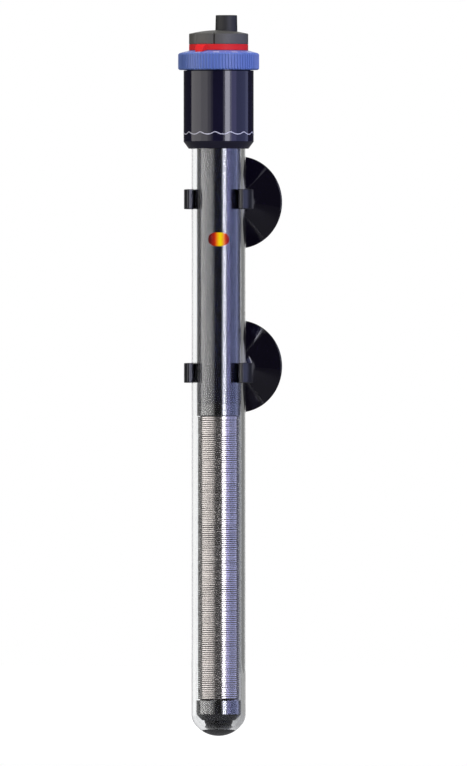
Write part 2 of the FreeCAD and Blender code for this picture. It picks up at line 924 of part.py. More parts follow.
def make_contact_lever():
    """An elbow: one arm lies under the plunger, the other hangs down with the contact at its end."""
    half = size.lever_width / 2
    arm_end = -spindle_offset - size.plunger_nose_diameter / 2
    arm_bottom = contact_height - contact_radius - size.contact_margin
    lever = padded("contact_lever", [[
        (arm_end, lever_height - half),
        (lever_x - half, lever_height - half),
        (lever_x - half, arm_bottom),
        (lever_x + half, arm_bottom),
        (lever_x + half, lever_height + half),
        (arm_end, lever_height + half),
    ]], -strip_middle - half, size.lever_width, "XZ_Plane")
    hub_rear = carrier_front - size.slide_gap
    pad(lever, "lever_hub", [Round(lever_x, lever_height, size.lever_hub_diameter / 2)],
        -hub_rear, size.lever_hub_depth, "XZ_Plane")
    pocket(lever, "lever_bore",
           [Round(lever_x, lever_height, size.pivot_diameter / 2 + size.fit_gap)],
           -hub_rear - OVERCUT, size.lever_hub_depth + 2 * OVERCUT, "XZ_Plane")
    hang(lever)
    return lever


def make_lever_pivot_pin():
    hub_front = carrier_front - size.slide_gap - size.lever_hub_depth
    length = carrier_rear - hub_front + size.slide_gap
    pin = padded("lever_pivot_pin", [Round(lever_x, lever_height, size.pivot_diameter / 2)],
                 -carrier_rear, length, "XZ_Plane")
    pad(pin, "pivot_head", [Round(lever_x, lever_height, size.pivot_head_diameter / 2)],
        size.slide_gap - hub_front, size.pivot_head_height, "XZ_Plane")
    hang(pin)
    return pin


def make_snap_magnet():
    right = size.magnet_offset
    magnet = padded("snap_magnet",
                    [box(right - size.magnet_width, right, carrier_front - size.magnet_depth, carrier_front)],
                    contact_height - size.magnet_drop - size.magnet_height, size.magnet_height)
    hang(magnet)
    return magnet


def make_lamp_resistor():
    radius = size.resistor_diameter / 2
    bottom = carrier_bottom + size.resistor_rise
    resistor = turned("lamp_resistor", [
        (0, bottom),
        (radius, bottom),
        (radius, bottom + size.resistor_length),
        (0, bottom + size.resistor_length),
    ])
    hang(resistor, component_x, carrier_front - radius - size.seat_gap)
    return resistor


def make_suppression_capacitor():
    half = size.capacitor_width / 2
    front = carrier_front - size.capacitor_depth
    capacitor = padded("suppression_capacitor",
                       [box(component_x - half, component_x + half, front, carrier_front)],
                       carrier_bottom + size.capacitor_rise, size.capacitor_height)
    hang(capacitor)
    return capacitor


# Adjuster, driven by the dial's inner teeth
ring_teeth = whole(size.ring_teeth)
pinion_teeth = whole(size.pinion_teeth)
gear_module = 2 * spindle_offset / (ring_teeth - pinion_teeth)
boss_bottom = deck_bottom - size.boss_height
pinion_bottom = deck_top + size.running_gap
pinion_radius = gear_module * pinion_teeth / 2
gear_ring_radius = gear_module * ring_teeth / 2
spindle_radius = size.spindle_diameter / 2
retainer_top = boss_bottom - size.slide_gap
retainer_bottom = retainer_top - size.retainer_thickness
groove_radius = size.spindle_top_diameter / 2
seal_ring_radius = spindle_radius + size.fit_gap + size.seal_cord / 2
seal_seat = size.seal_cord + 2 * size.seat_gap
seal_seat_radius = seal_ring_radius + size.seal_cord / 2 + size.fit_gap


def make_adjuster_plunger():
    half = size.plunger_width / 2
    shoulder = plunger_tip + size.plunger_nose
    plunger = padded("adjuster_plunger", [box(-half, half, -half, half)], shoulder, size.plunger_length)
    nose = size.plunger_nose_diameter / 2
    turn(plunger, "plunger_tip", [
        (0, plunger_tip),
        Bend(nose, RIGHT),
        (nose, plunger_tip + nose),
        (nose, shoulder + size.seat_gap),
        (0, shoulder + size.seat_gap),
    ])
    bore = size.spindle_thread_diameter / 2 + size.fit_gap
    pocket(plunger, "plunger_bore", [Round(0, 0, bore)],
           plunger_top - size.plunger_bore_depth, size.plunger_bore_depth + OVERCUT)
    hang(plunger, -spindle_offset)
    return plunger


def make_adjuster_spindle():
    thread = size.spindle_thread_diameter / 2
    neck = size.spindle_top_diameter / 2
    spindle = turned("adjuster_spindle", [
        (0, thread_bottom),
        (thread, thread_bottom),
        (thread, thread_bottom + size.spindle_thread_length),
        (spindle_radius, thread_bottom + size.spindle_thread_length),
        (spindle_radius, retainer_bottom),
        (groove_radius, retainer_bottom),
        (groove_radius, retainer_top),
        (spindle_radius, retainer_top),
        (spindle_radius, pinion_bottom),
        (neck, pinion_bottom),
        (neck, pinion_bottom + size.gear_width),
        (0, pinion_bottom + size.gear_width),
    ])
    hang(spindle, -spindle_offset)
    return spindle


def make_drive_pinion():
    """One of its teeth points straight at the dial's nearest side, where the dial has a space."""
    root_radius = pinion_radius + PINION_TOOTH[0][0] * gear_module
    pinion = padded("drive_pinion", [Round(0, 0, root_radius + size.fit_gap)], pinion_bottom, size.gear_width)
    first = pad(pinion, "pinion_tooth", [tooth(PINION_TOOTH, pinion_radius)], pinion_bottom, size.gear_width)
    repeat_round(pinion, "pinion_teeth_pattern", first, pinion_teeth)
    pocket(pinion, "pinion_bore", [Round(0, 0, size.spindle_top_diameter / 2 + size.fit_gap)],
           pinion_bottom - OVERCUT, size.gear_width + 2 * OVERCUT)
    hang(pinion, -spindle_offset, turn_by=180)
    return pinion


def make_spindle_retainer():
    """A spring ring in the spindle's groove, with the gap through which it is pushed on."""
    half = size.retainer_opening / 2
    retainer = padded("spindle_retainer", [
        Round(0, 0, size.retainer_diameter / 2),
        Round(0, 0, groove_radius + size.fit_gap),
    ], retainer_bottom + size.fit_gap, size.retainer_thickness - 2 * size.fit_gap)
    pocket(retainer, "retainer_gap", [box(0, size.retainer_diameter, -half, half)],
           retainer_bottom - OVERCUT, size.retainer_thickness + 2 * OVERCUT)
    hang(retainer, -spindle_offset)
    return retainer


def make_spindle_seal():
    seal = doc.addObject("Part::Torus", "seal_ring")
    bind(seal, "Radius1", seal_ring_radius)
    bind(seal, "Radius2", size.seal_cord / 2)
    bind(seal, ".Placement.Base.z", boss_bottom + seal_seat / 2)
    ring = doc.addObject("Part::Compound", "spindle_seal")
    ring.Label = "spindle_seal"
    ring.Links = [seal]
    hang(ring, -spindle_offset)
    return ring


# Rubber plug in the mouth of the tube, and what passes it
pin_places = [(size.pin_sideways, -size.pin_front), (size.pin_sideways, size.pin_behind)]
pin_bottom = plug_bottom - size.pin_below_plug


def make_seal_plug():
    flange = tube_radius - size.seat_gap
    plug = turned("seal_plug", [
        (0, plug_bottom),
        (bore_radius - size.seat_gap, plug_bottom),
        (bore_radius - size.seat_gap, plug_shoulder),
        (flange, plug_shoulder),
        (flange, plug_top),
        (0, plug_top),
    ])
    holes = [Round(x, y, size.pin_diameter / 2 + size.fit_gap) for x, y in pin_places]
    holes.append(Round(-spindle_offset, 0, spindle_radius + size.slide_gap))
    pocket(plug, "plug_holes", holes, plug_bottom - OVERCUT, plug_top - plug_bottom + 2 * OVERCUT)
    hang(plug)
    return plug


def make_feedthrough_pins():
    pins = new_body("feedthrough_pins")
    pins.AllowCompound = True
    pad(pins, "pins", [Round(x, y, size.pin_diameter / 2) for x, y in pin_places],
        pin_bottom, size.pin_length)
    hang(pins)
    return pins


def make_lead_wires():
    """Straight leads: one to the bracket's lug, one to the collar, and the two small parts' own."""
    radius = size.lead_diameter / 2
    thin = size.component_lead_diameter / 2
    component_y = carrier_front - size.resistor_diameter / 2 - size.seat_gap
    capacitor_bottom = carrier_bottom + size.capacitor_rise
    capacitor_top = capacitor_bottom + size.capacitor_height
    leads = new_body("lead_wires")
    leads.AllowCompound = True
    runs = (
        ("front_lead", pin_places[0], radius, bracket_top, pin_bottom),
        ("rear_lead", pin_places[1], radius, collar_top, pin_bottom),
        ("resistor_lead", (component_x, component_y), thin, capacitor_top,
         carrier_bottom + size.resistor_rise),
        ("capacitor_lead", (component_x, component_y), thin, collar_top, capacitor_bottom),
    )
    for name, (x, y), lead_radius, low, high in runs:
        pad(leads, name, [Round(x, y, lead_radius)], low, high - low)
    hang(leads)
    return leads


# Head
head_socket = tube_radius + size.seat_gap
head_radius = head_socket + size.head_wall
neck_radius = head_radius - size.neck_step
passage_radius = size.cord_bore / 2 + size.cord_slack
hub_radius = passage_radius + size.hub_wall
hub_top = deck_top + size.hub_height
hub_x = size.hub_offset


def make_head_housing():
    """A deep cap over the tube's mouth, with a ledge on the plug and a neck for the dial."""
    cavity = head_socket - size.ledge_width
    ledge = plug_top + size.seat_gap
    head = turned("head_housing", [
        (head_socket, head_bottom),
        (head_socket + size.head_mouth_wall, head_bottom),
        (head_radius, head_bottom + size.head_chamfer_height),
        (head_radius, head_shoulder),
        (neck_radius, head_shoulder),
        (neck_radius, deck_top),
        (0, deck_top),
        (0, deck_bottom),
        (cavity, deck_bottom),
        (cavity, ledge),
        (head_socket, ledge),
    ])
    pad(head, "hub", [Round(hub_x, 0, hub_radius)], deck_top, size.hub_height)
    pad(head, "spindle_boss", [Round(-spindle_offset, 0, seal_seat_radius + size.boss_wall)],
        boss_bottom, size.boss_height)
    pocket(head, "cord_passage", [Round(hub_x, 0, passage_radius)],
           deck_bottom - OVERCUT, hub_top - deck_bottom + 2 * OVERCUT)
    pocket(head, "spindle_bore", [Round(-spindle_offset, 0, spindle_radius + size.fit_gap)],
           boss_bottom - OVERCUT, deck_top - boss_bottom + 2 * OVERCUT)
    pocket(head, "seal_seat", [Round(-spindle_offset, 0, seal_seat_radius)],
           boss_bottom - OVERCUT, seal_seat + OVERCUT)
    hang(head)
    return head


dial_bottom = head_shoulder + size.running_gap
dial_shoulder = dial_bottom + size.dial_side_height
dial_top = dial_shoulder + size.dial_cone_height
dial_radius = head_radius + size.dial_overhang
ring_radius = head_radius - size.ring_inset
ring_bore = ring_radius - size.ring_width
ring_bottom = dial_top + size.slide_gap
ring_top = ring_bottom + size.ring_height
cap_bottom = ring_top + size.slide_gap
cap_rim = cap_bottom + size.cap_side_height
cap_top = cap_rim + size.cap_crown_height
gland_top = cap_top + size.gland_rise
gland_radius = size.cord_bore / 2 + size.gland_wall
gland_skirt_bore = hub_radius + size.fit_gap
gland_flange_radius = gland_skirt_bore + size.gland_skirt_wall


def make_setting_dial():
    """A ribbed collar on the head's neck, with a ring of teeth inside that turns the pinion."""
    bore = neck_radius + size.running_gap
    side = dial_radius - size.dial_rib_depth
    ceiling = deck_top + size.running_gap
    gear_root = gear_ring_radius + RING_TOOTH[0][0] * gear_module
    dial = turned("setting_dial", [
        (bore, dial_bottom),
        (side - size.dial_edge, dial_bottom),
        Bend(size.dial_edge, RIGHT),
        (side, dial_bottom + size.dial_edge),
        (side, dial_shoulder - size.dial_edge),
        Bend(size.dial_edge, RIGHT),
        (side - size.dial_edge, dial_shoulder),
        (ring_radius, dial_top),
        (gear_root, dial_top),
        (gear_root, ceiling),
        (bore, ceiling),
    ])
    base = size.dial_rib_width / 2
    crest = size.dial_rib_crest / 2
    inside = side - size.dial_rib_depth
    rib = pad(dial, "dial_rib", [[(inside, -base), (side, -base), (dial_radius, -crest),
                                  (dial_radius, crest), (side, base), (inside, base)]],
              dial_bottom + size.dial_edge, size.dial_side_height - 2 * size.dial_edge)
    repeat_round(dial, "dial_ribs_pattern", rib, whole(size.dial_ribs))
    gear = tooth(RING_TOOTH, gear_ring_radius)
    gear_start = gear_root + size.fit_gap
    gear[0] = (gear_start, gear[0][1])
    gear[-1] = (gear_start, gear[-1][1])
    first = pad(dial, "ring_tooth", [gear], pinion_bottom, size.gear_width)
    repeat_round(dial, "ring_teeth_pattern", first, ring_teeth)
    hang(dial, turn_by=180 - 180 / ring_teeth)
    return dial


def make_calibration_ring():
    """The red ring; its pointer lies on the dial's cone."""
    ring = turned("calibration_ring", [
        (ring_bore, ring_bottom),
        (ring_radius, ring_bottom),
        (ring_radius, ring_top),
        (ring_bore, ring_top),
    ])
    reach = ring_radius + size.pointer_reach
    rooted = ring_radius - size.pointer_tip
    base = size.pointer_base / 2
    tip = size.pointer_tip / 2
    cone_run = dial_radius - size.dial_rib_depth - size.dial_edge - ring_radius
    fall = size.dial_cone_height / cone_run
    tip_bottom = ring_bottom - fall * size.pointer_reach
    pad(ring, "pointer", [[(-base, -rooted), (-tip, -reach), (tip, -reach), (base, -rooted)]],
        tip_bottom, ring_top - tip_bottom)
    past = reach + OVERCUT
    turn(ring, "pointer_underside", [
        (rooted, tip_bottom - OVERCUT),
        (past, tip_bottom - OVERCUT),
        (past, tip_bottom - fall * OVERCUT),
        (ring_radius, ring_bottom),
        (rooted, ring_bottom),
    ], "Groove")
    drop = (ring_top - tip_bottom - size.pointer_tip_height) / size.pointer_reach
    turn(ring, "pointer_slope", [
        (ring_radius, ring_top),
        (past, ring_top - drop * (size.pointer_reach + OVERCUT)),
        (past, ring_top + OVERCUT),
        (ring_radius, ring_top + OVERCUT),
    ], "Groove")
    hang(ring, turn_by=-size.pointer_turn)
    return ring


def make_top_cap():
    edge_radius = ring_radius - size.cap_edge
    spigot = ring_bore - size.running_gap
    rise = size.cap_crown_height
    crown = (edge_radius * edge_radius + rise * rise) / (2 * rise)
    spigot_bottom = cap_bottom - size.cap_spigot_drop
    cap = turned("top_cap", [
        (0, spigot_bottom),
        (spigot, spigot_bottom),
        (spigot, cap_bottom),
        (ring_radius, cap_bottom),
        (ring_radius, cap_rim - size.cap_edge),
        (edge_radius, cap_rim),
        Bend(crown, RIGHT),
        (0, cap_top),
    ])
    flange_room = gland_flange_radius + size.fit_gap
    flange_roof = hub_top + size.seat_gap + size.gland_web + size.seat_gap
    pocket(cap, "gland_room", [Round(hub_x, 0, flange_room)],
           spigot_bottom - OVERCUT, flange_roof - spigot_bottom + OVERCUT)
    pocket(cap, "gland_hole", [Round(hub_x, 0, gland_radius + size.fit_gap)],
           flange_roof - OVERCUT, cap_top - flange_roof + 2 * OVERCUT)
    floor = ring_radius - size.cap_recess_depth
    outside = ring_radius + OVERCUT

    def at(radius, degrees):
        return -radius * sine(degrees), -radius * cosine(degrees)

    pocket(cap, "side_recess", [[
        at(floor, size.cap_recess_end),
        Bend(floor, RIGHT),
        at(floor, size.cap_recess_start),
        at(outside, size.cap_recess_start),
        Bend(outside, LEFT),
        at(outside, size.cap_recess_end),
    ]], cap_bottom - size.cap_edge, cap_top - cap_bottom)
    hang(cap)
    return cap


def make_cord_gland():
    """A rubber boot over the hub; its stub stands out of the cap, bored for a cord."""
    bore = size.cord_bore / 2
    stub_top = bore + size.gland_top_wall
    web = hub_top + size.seat_gap
    gland = turned("cord_gland", [
        (bore, web),
        (gland_skirt_bore, web),
        (gland_skirt_bore, web - size.gland_skirt),
        (gland_flange_radius, web - size.gland_skirt),
        (gland_flange_radius, web + size.gland_web),
        (gland_radius, web + size.gland_web),
        (gland_radius, cap_top),
        (stub_top, gland_top - size.gland_edge),
        Bend(size.gland_edge, RIGHT),
        (stub_top - size.gland_edge, gland_top),
        (bore, gland_top),
    ])
    hang(gland, hub_x)
    return gland


# Clips and suction cups, square to the wall
def make_clip(name, clip_height, seat_height):
    """A sprung C with its mouth away from the wall, and a round boss behind for the cup's stem."""
    inner, outer = clip_bore, clip_radius
    lip = size.clip_wall / 2 + size.clip_lip_ease

    def at(radius, side):
        return side * radius * sine(size.clip_opening), -radius * cosine(size.clip_opening)

    back = (0, outer)
    inner_back = (0, inner)
    clip = padded(name, [[
        at(outer, 1),
        Bend(outer, RIGHT),
        (outer, 0),
        Bend(outer, RIGHT),
        back,
        Bend(outer, RIGHT),
        (-outer, 0),
        Bend(outer, RIGHT),
        at(outer, -1),
        Bend(lip, RIGHT),
        at(inner, -1),
        Bend(inner, LEFT),
        (-inner, 0),
        Bend(inner, LEFT),
        inner_back,
        Bend(inner, LEFT),
        (inner, 0),
        Bend(inner, LEFT),
        at(inner, 1),
        Bend(lip, RIGHT),
    ]], clip_height - size.clip_height / 2, size.clip_height)
    pad(clip, f"{name}_boss", [Round(0, seat_height, size.clip_boss_diameter / 2)],
        -boss_face, boss_face - inner, "XZ_Plane")
    stem_room = size.stem_diameter / 2 + size.running_gap
    head_room = size.stem_head_diameter / 2 + size.running_gap
    plate_rear = boss_face - size.clip_boss_plate
    pocket(clip, f"{name}_stem_hole", [Round(0, seat_height, stem_room)],
           -boss_face - OVERCUT, boss_face - inner + OVERCUT, "XZ_Plane")
    pocket(clip, f"{name}_head_room", [Round(0, seat_height, head_room)],
           -plate_rear, plate_rear - inner + OVERCUT, "XZ_Plane")
    place(clip, 0, -wall_distance, -upper_cup_height, Vector(0, 0, 1), 0)
    return clip


def make_suction_cup(name, seat_height):
    """A bell of soft rubber with a flat lip, and a headed stem that snaps into the clip's boss."""
    radius = size.cup_diameter / 2
    lip = radius - size.cup_lip_width
    hub = size.cup_hub_diameter / 2
    stem = size.stem_diameter / 2
    head = size.stem_head_diameter / 2
    hub_face = size.cup_height
    hub_root = hub_face - size.cup_hub_height
    head_bottom_face = hub_face + size.slide_gap + size.clip_boss_plate + size.slide_gap
    head_top_face = head_bottom_face + size.stem_head_height
    hollow = size.cup_hollow
    hollow_crown = (lip * lip + hollow * hollow) / (2 * hollow)
    cup = turned(name, [
        (lip, 0),
        (radius, 0),
        (radius, size.cup_lip_height),
        Bend(size.cup_flare, LEFT),
        (hub + size.cup_fillet_reach, hub_root - size.cup_fillet_height),
        Bend(size.cup_hub_fillet, LEFT),
        (hub, hub_root),
        (hub, hub_face),
        (stem, hub_face),
        (stem, head_bottom_face),
        (head, head_bottom_face),
        (head, head_top_face - size.stem_head_edge),
        (head - size.stem_head_edge, head_top_face),
        (0, head_top_face),
        (0, hollow),
        Bend(hollow_crown, RIGHT),
    ])
    place(cup, 0, 0, seat_height - upper_cup_height, Vector(1, 0, 0), 90)
    return cup


sub_parts = [
    make_glass_tube(),
    make_bottom_bumper(),
    make_bottom_spacer(),
    make_ceramic_core(),
    make_core_collar(),
    make_heating_wire(),
    make_inner_sleeve(),
    make_lamp_lens(),
    make_neon_lamp(),
    make_thermostat_carrier(),
    make_strip_bracket(),
    make_rivets(),
    make_bimetal_strip(),
    make_contact("moving_contact", strip_left - size.contact_thickness),
    make_contact_lever(),
    make_contact("fixed_contact", lever_x + size.lever_width / 2),
    make_lever_pivot_pin(),
    make_snap_magnet(),
    make_lamp_resistor(),
    make_suppression_capacitor(),
    make_adjuster_plunger(),
    make_adjuster_spindle(),
    make_drive_pinion(),
    make_spindle_retainer(),
    make_spindle_seal(),
    make_seal_plug(),
    make_feedthrough_pins(),
    make_lead_wires(),
    make_head_housing(),
    make_setting_dial(),
    make_calibration_ring(),
    make_top_cap(),
    make_cord_gland(),
    make_clip("upper_clip", upper_clip_height, upper_cup_height),
    make_clip("lower_clip", lower_clip_height, lower_cup_height),
    make_suction_cup("upper_suction_cup", upper_cup_height),
    make_suction_cup("lower_suction_cup", lower_cup_height),
]
doc.recompute()

# Every object has recomputed, every cut has taken material away, and every piece is sound
for thing in doc.Objects:
    if "Invalid" in thing.State or "Error" in thing.State:
        raise RuntimeError(f"{thing.Label} did not recompute: {thing.State}")
    if thing.TypeId in ("PartDesign::Pocket", "PartDesign::Groove"):
        if thing.Shape.Volume >= thing.BaseFeature.Shape.Volume - 1e-3:
            raise RuntimeError(f"{thing.Label} cuts nothing")
for piece in sub_parts:
    if piece.Shape.isNull() or not piece.Shape.isValid():
        raise RuntimeError(f"{piece.Label} has no sound shape")

os.makedirs("parts", exist_ok=True)
for piece in sub_parts:
    piece.Shape.exportStep(f"parts/{piece.Label}.step")
    print(f"{piece.Label}: {len(piece.Shape.Solids)} solid, {piece.Shape.Volume:.1f} cubic mm")
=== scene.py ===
import math
import random

import bpy
from mathutils import Matrix, Vector


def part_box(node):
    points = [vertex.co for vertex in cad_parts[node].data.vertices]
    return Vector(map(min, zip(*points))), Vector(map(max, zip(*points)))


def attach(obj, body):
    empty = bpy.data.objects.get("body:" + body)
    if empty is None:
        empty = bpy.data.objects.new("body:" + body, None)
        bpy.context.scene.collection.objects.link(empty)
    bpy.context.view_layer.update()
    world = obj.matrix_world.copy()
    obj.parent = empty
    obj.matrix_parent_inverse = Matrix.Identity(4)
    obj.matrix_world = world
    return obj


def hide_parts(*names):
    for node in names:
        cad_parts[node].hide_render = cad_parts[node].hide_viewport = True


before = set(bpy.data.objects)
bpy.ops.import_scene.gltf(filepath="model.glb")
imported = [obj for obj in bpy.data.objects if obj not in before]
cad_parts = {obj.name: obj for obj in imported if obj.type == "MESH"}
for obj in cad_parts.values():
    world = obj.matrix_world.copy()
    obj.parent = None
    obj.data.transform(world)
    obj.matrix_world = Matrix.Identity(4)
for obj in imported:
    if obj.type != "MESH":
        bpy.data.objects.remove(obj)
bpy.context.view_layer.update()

# Lengths are in millimetres, turned to metres where a mesh is made
MM = 0.001


def colour(hex_code):
    """An sRGB hex colour as the linear one that the shaders take."""
    parts = [int(hex_code[i:i + 2], 16) / 255 for i in (1, 3, 5)]
    return tuple(c / 12.92 if c <= 0.04045 else ((c + 0.055) / 1.055) ** 2.4 for c in parts) + (1.0,)


def add_node(tree, kind, sockets=None, **settings):
    """Adds a node; sockets gives an input its value, or the output that it is linked to."""
    made = tree.nodes.new(kind)
    for name, value in settings.items():
        setattr(made, name, value)
    for name, value in (sockets or {}).items():
        if isinstance(value, bpy.types.NodeSocket):
            tree.links.new(value, made.inputs[name])
        else:
            made.inputs[name].default_value = value
    return made


def maths(tree, operation, first, second):
    """Output of a Math node on two numbers or outputs."""
    return add_node(tree, "ShaderNodeMath", {0: first, 1: second}, operation=operation).outputs[0]


def dotted(tree, where, direction):
    """Output of how far a place reaches along a direction."""
    product = add_node(tree, "ShaderNodeVectorMath", {0: where, 1: direction}, operation="DOT_PRODUCT")
    return product.outputs["Value"]


def ranged(tree, value, low, high, to_low, to_high):
    """Output of a value mapped from low..high to to_low..to_high."""
    return add_node(tree, "ShaderNodeMapRange", {
        "Value": value, "From Min": low, "From Max": high, "To Min": to_low, "To Max": to_high}).outputs[0]


def powered(value, power):
    """A power of a number that keeps its sign."""
    return math.copysign(abs(value) ** power, value)


def clamped(value):
    return min(max(value, 0), 1)


def swung(section, angle):
    """Points of a section of (radius, height), turned about Z to an angle."""
    return [(r * math.cos(angle), r * math.sin(angle), z) for r, z in section]


def new_object(name, data):
    """An object with this data, in the scene."""
    made = bpy.data.objects.new(name, data)
    bpy.context.scene.collection.objects.link(made)
    return made


# Where things are, from the parts in model.glb
def reach(node):
    """Lowest and highest corner of a node, in millimetres."""
    low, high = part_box(node)
    return low / MM, high / MM


tube_low, tube_high = reach("glass_tube")
AXIS = ((tube_low + tube_high) / 2).to_2d()
TUBE_FOOT = tube_low.z
# the heater's front, with its lamp, is turned this far from the wall's normal
FRONT_TURN = 21.0
STAND = Matrix.Translation((AXIS.x, AXIS.y, TUBE_FOOT)) @ Matrix.Rotation(math.radians(FRONT_TURN), 4, "Z")
front = math.radians(FRONT_TURN)
BACKWARD = Vector((-math.sin(front), math.cos(front), 0))
RIGHTWARD = Vector((math.cos(front), math.sin(front), 0))


def heights(node):
    """Bottom and top of a node above the foot of the tube."""
    low, high = reach(node)
    return low.z - TUBE_FOOT, high.z - TUBE_FOOT


def radius_of(node):
    """Half of a node's width across X."""
    low, high = reach(node)
    return (high.x - low.x) / 2


# Camera: level and so far away that its rays are nearly parallel, on the lamp's side
VIEW_DISTANCE = 9000.0
VIEW_HEIGHT = 340.1
VIEW_RISE = 156.7
VIEW_SIDE = 6.6
SENSOR = 24.0


def make_camera():
    centre = Vector((AXIS.x, AXIS.y, TUBE_FOOT + VIEW_RISE)) + RIGHTWARD * VIEW_SIDE
    data = bpy.data.cameras.new("camera")
    data.sensor_fit = "VERTICAL"
    data.sensor_height = data.sensor_width = SENSOR
    data.lens = SENSOR * VIEW_DISTANCE / VIEW_HEIGHT
    data.clip_start, data.clip_end = 1.0, 100.0
    camera = new_object("camera", data)
    camera.location = (centre - BACKWARD * VIEW_DISTANCE) * MM
    camera.rotation_euler = BACKWARD.to_track_quat("-Z", "Y").to_euler()
    bpy.context.scene.camera = camera


make_camera()


# Outlines
def bow(start, end, radius, steps=12):
    """Points of the shorter arc after start; it bulges right of the way, or left if the radius is negative."""
    a, b = Vector(start), Vector(end)
    chord = b - a
    left = Vector((-chord.y, chord.x)).normalized()
    inset = math.sqrt(max(radius ** 2 - (chord.length / 2) ** 2, 0))
    centre = (a + b) / 2 + left * math.copysign(inset, radius)
    first = math.atan2(a.y - centre.y, a.x - centre.x)
    last = math.atan2(b.y - centre.y, b.x - centre.x)
    sweep = (last - first + math.pi) % (2 * math.pi) - math.pi
    return [(centre.x + abs(radius) * math.cos(first + sweep * i / steps),
             centre.y + abs(radius) * math.sin(first + sweep * i / steps)) for i in range(1, steps + 1)]


EASE_STEPS = 4


def eased(before, corner, after, fillet):
    """A corner of an outline replaced by an arc."""
    corner = Vector(corner)
    a = Vector(before) - corner
    b = Vector(after) - corner
    run = fillet / math.tan(a.angle(b) / 2)
    start = corner + a.normalized() * run
    end = corner + b.normalized() * run
    right = a.y * b.x - a.x * b.y
    return [tuple(start)] + bow(start, end, math.copysign(fillet, right), EASE_STEPS)


def outline_points(outline, closed):
    """Points of an outline; a third number at a point is the radius that eases its corner."""
    points = []
    count = len(outline)
    for i, point in enumerate(outline):
        if len(point) > 2 and (closed or 0 < i < count - 1):
            points += eased(outline[i - 1][:2], point[:2], outline[(i + 1) % count][:2], point[2])
        else:
            points.append(tuple(point[:2]))
    return points


# how far inside a long run its extra points lie
HOLD = 0.05


def held(points, closed):
    """Adds a point close to each end of a long run that meets short ones, so that the run shades flat."""
    count = len(points)
    made = []
    for i, point in enumerate(points):
        made.append(point)
        if i == count - 1 and not closed:
            break
        a, b = Vector(point), Vector(points[(i + 1) % count])
        run = b - a
        before = (a - Vector(points[i - 1])).length if closed or i > 0 else run.length
        after = (Vector(points[(i + 2) % count]) - b).length if closed or i < count - 2 else run.length
        if run.length > 3 * before:
            made.append(tuple(a + run.normalized() * min(before, HOLD)))
        if run.length > 3 * after:
            made.append(tuple(b - run.normalized() * min(after, HOLD)))
    return made


# Meshes
def new_piece(name, vertices, faces, place, sharp=35.0):
    """An object from points in millimetres, shaded smooth up to its real edges."""
    mesh = bpy.data.meshes.new(name)
    mesh.from_pydata([place @ Vector(v) * MM for v in vertices], [], faces)
    mesh.validate()
    mesh.shade_smooth()
    mesh.set_sharp_from_angle(angle=math.radians(sharp))
    return new_object(name, mesh)


def turned(name, outline, place, steps=128, shape=None, sharp=35.0):
    """A piece turned about Z from (radius, height) points, walked with the material on the left."""
    closed = outline[0][0] > 0 or outline[-1][0] > 0
    rings = []
    vertices = []
    for radius, height in held(outline_points(outline, closed), closed):
        if radius < 1e-6:
            rings.append([len(vertices)])
            vertices.append((0, 0, height))
            continue
        rings.append(list(range(len(vertices), len(vertices) + steps)))
        for k in range(steps):
            angle = 2 * math.pi * k / steps
            r = shape(angle, radius, height) if shape else radius
            vertices.append((r * math.cos(angle), r * math.sin(angle), height))
    faces = []
    for low, high in list(zip(rings, rings[1:])) + ([(rings[-1], rings[0])] if closed else []):
        for k in range(steps):
            after = (k + 1) % steps
            if len(low) == 1:
                faces.append((low[0], high[after], high[k]))
            elif len(high) == 1:
                faces.append((low[k], low[after], high[0]))
            else:
                faces.append((low[k], low[after], high[after], high[k]))
    return new_piece(name, vertices, faces, place, sharp)


def lofted(name, sections, place, closed=False, sharp=35.0):
    """A skin over sections with equally many points; both ends are capped unless it closes on itself."""
    count = len(sections[0])
    vertices = [point for section in sections for point in section]
    faces = []
    spans = len(sections) if closed else len(sections) - 1
    for i in range(spans):
        low, high = i * count, (i + 1) % len(sections) * count
        for k in range(count):
            after = (k + 1) % count
            faces.append((low + k, low + after, high + after, high + k))
    if not closed:
        faces.append(tuple(reversed(range(count))))
        faces.append(tuple(range(len(vertices) - count, len(vertices))))
    return new_piece(name, vertices, faces, place, sharp)


def worked(piece, tool, operation="DIFFERENCE", sharp=35.0):
    """Cuts the tool out of the piece, or unites them, and takes the tool away."""
    piece.modifiers.clear()
    step = piece.modifiers.new("step", "BOOLEAN")
    step.object = tool
    step.operation = operation
    step.solver = "EXACT"
    ready = piece.evaluated_get(bpy.context.evaluated_depsgraph_get())
    mesh = bpy.data.meshes.new_from_object(ready)
    piece.modifiers.clear()
    piece.data = mesh
    mesh.shade_smooth()
    mesh.set_sharp_from_angle(angle=math.radians(sharp))
    bpy.data.objects.remove(tool)
    # large faces keep their own direction where the cut left slivers beside them
    even = piece.modifiers.new("even_shading", "WEIGHTED_NORMAL")
    even.keep_sharp = True
    even.weight = 90
    return piece


def rod(radius, bottom, top, place, x=0.0):
    """A plain round tool for worked()."""
    outline = [(0, bottom), (radius, bottom), (radius, top), (0, top)]
    return turned("rod", outline, place @ Matrix.Translation((x, 0, 0)), 96)


def finished(piece, material, body, slot, *instead):
    """Gives a piece its material, its body and the nodes that it stands for; the slot is not used."""
    piece.data.materials.clear()
    piece.data.materials.append(material)
    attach(piece, body)
    if instead:
        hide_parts(*instead)
    return piece


# Materials
def new_material(name):
    material = bpy.data.materials.new(name)
    material.use_nodes = True
    tree = material.node_tree
    return material, tree, tree.nodes["Principled BSDF"]


# spots of the slow changes in a plastic's depth and a metal's gloss, and their reach
PATCH_SIZE = 6.0
PATCH_DEPTH = 0.9
METAL_PATCH = 0.3
METAL_RANGE = 0.2


def grain(tree, size_mm):
    """Output of a noise whose spots are about size_mm across."""
    where = add_node(tree, "ShaderNodeTexCoord")
    return add_node(tree, "ShaderNodeTexNoise", {
        "Vector": where.outputs["Object"], "Scale": 1 / (size_mm * MM), "Detail": 2.0}).outputs[0]


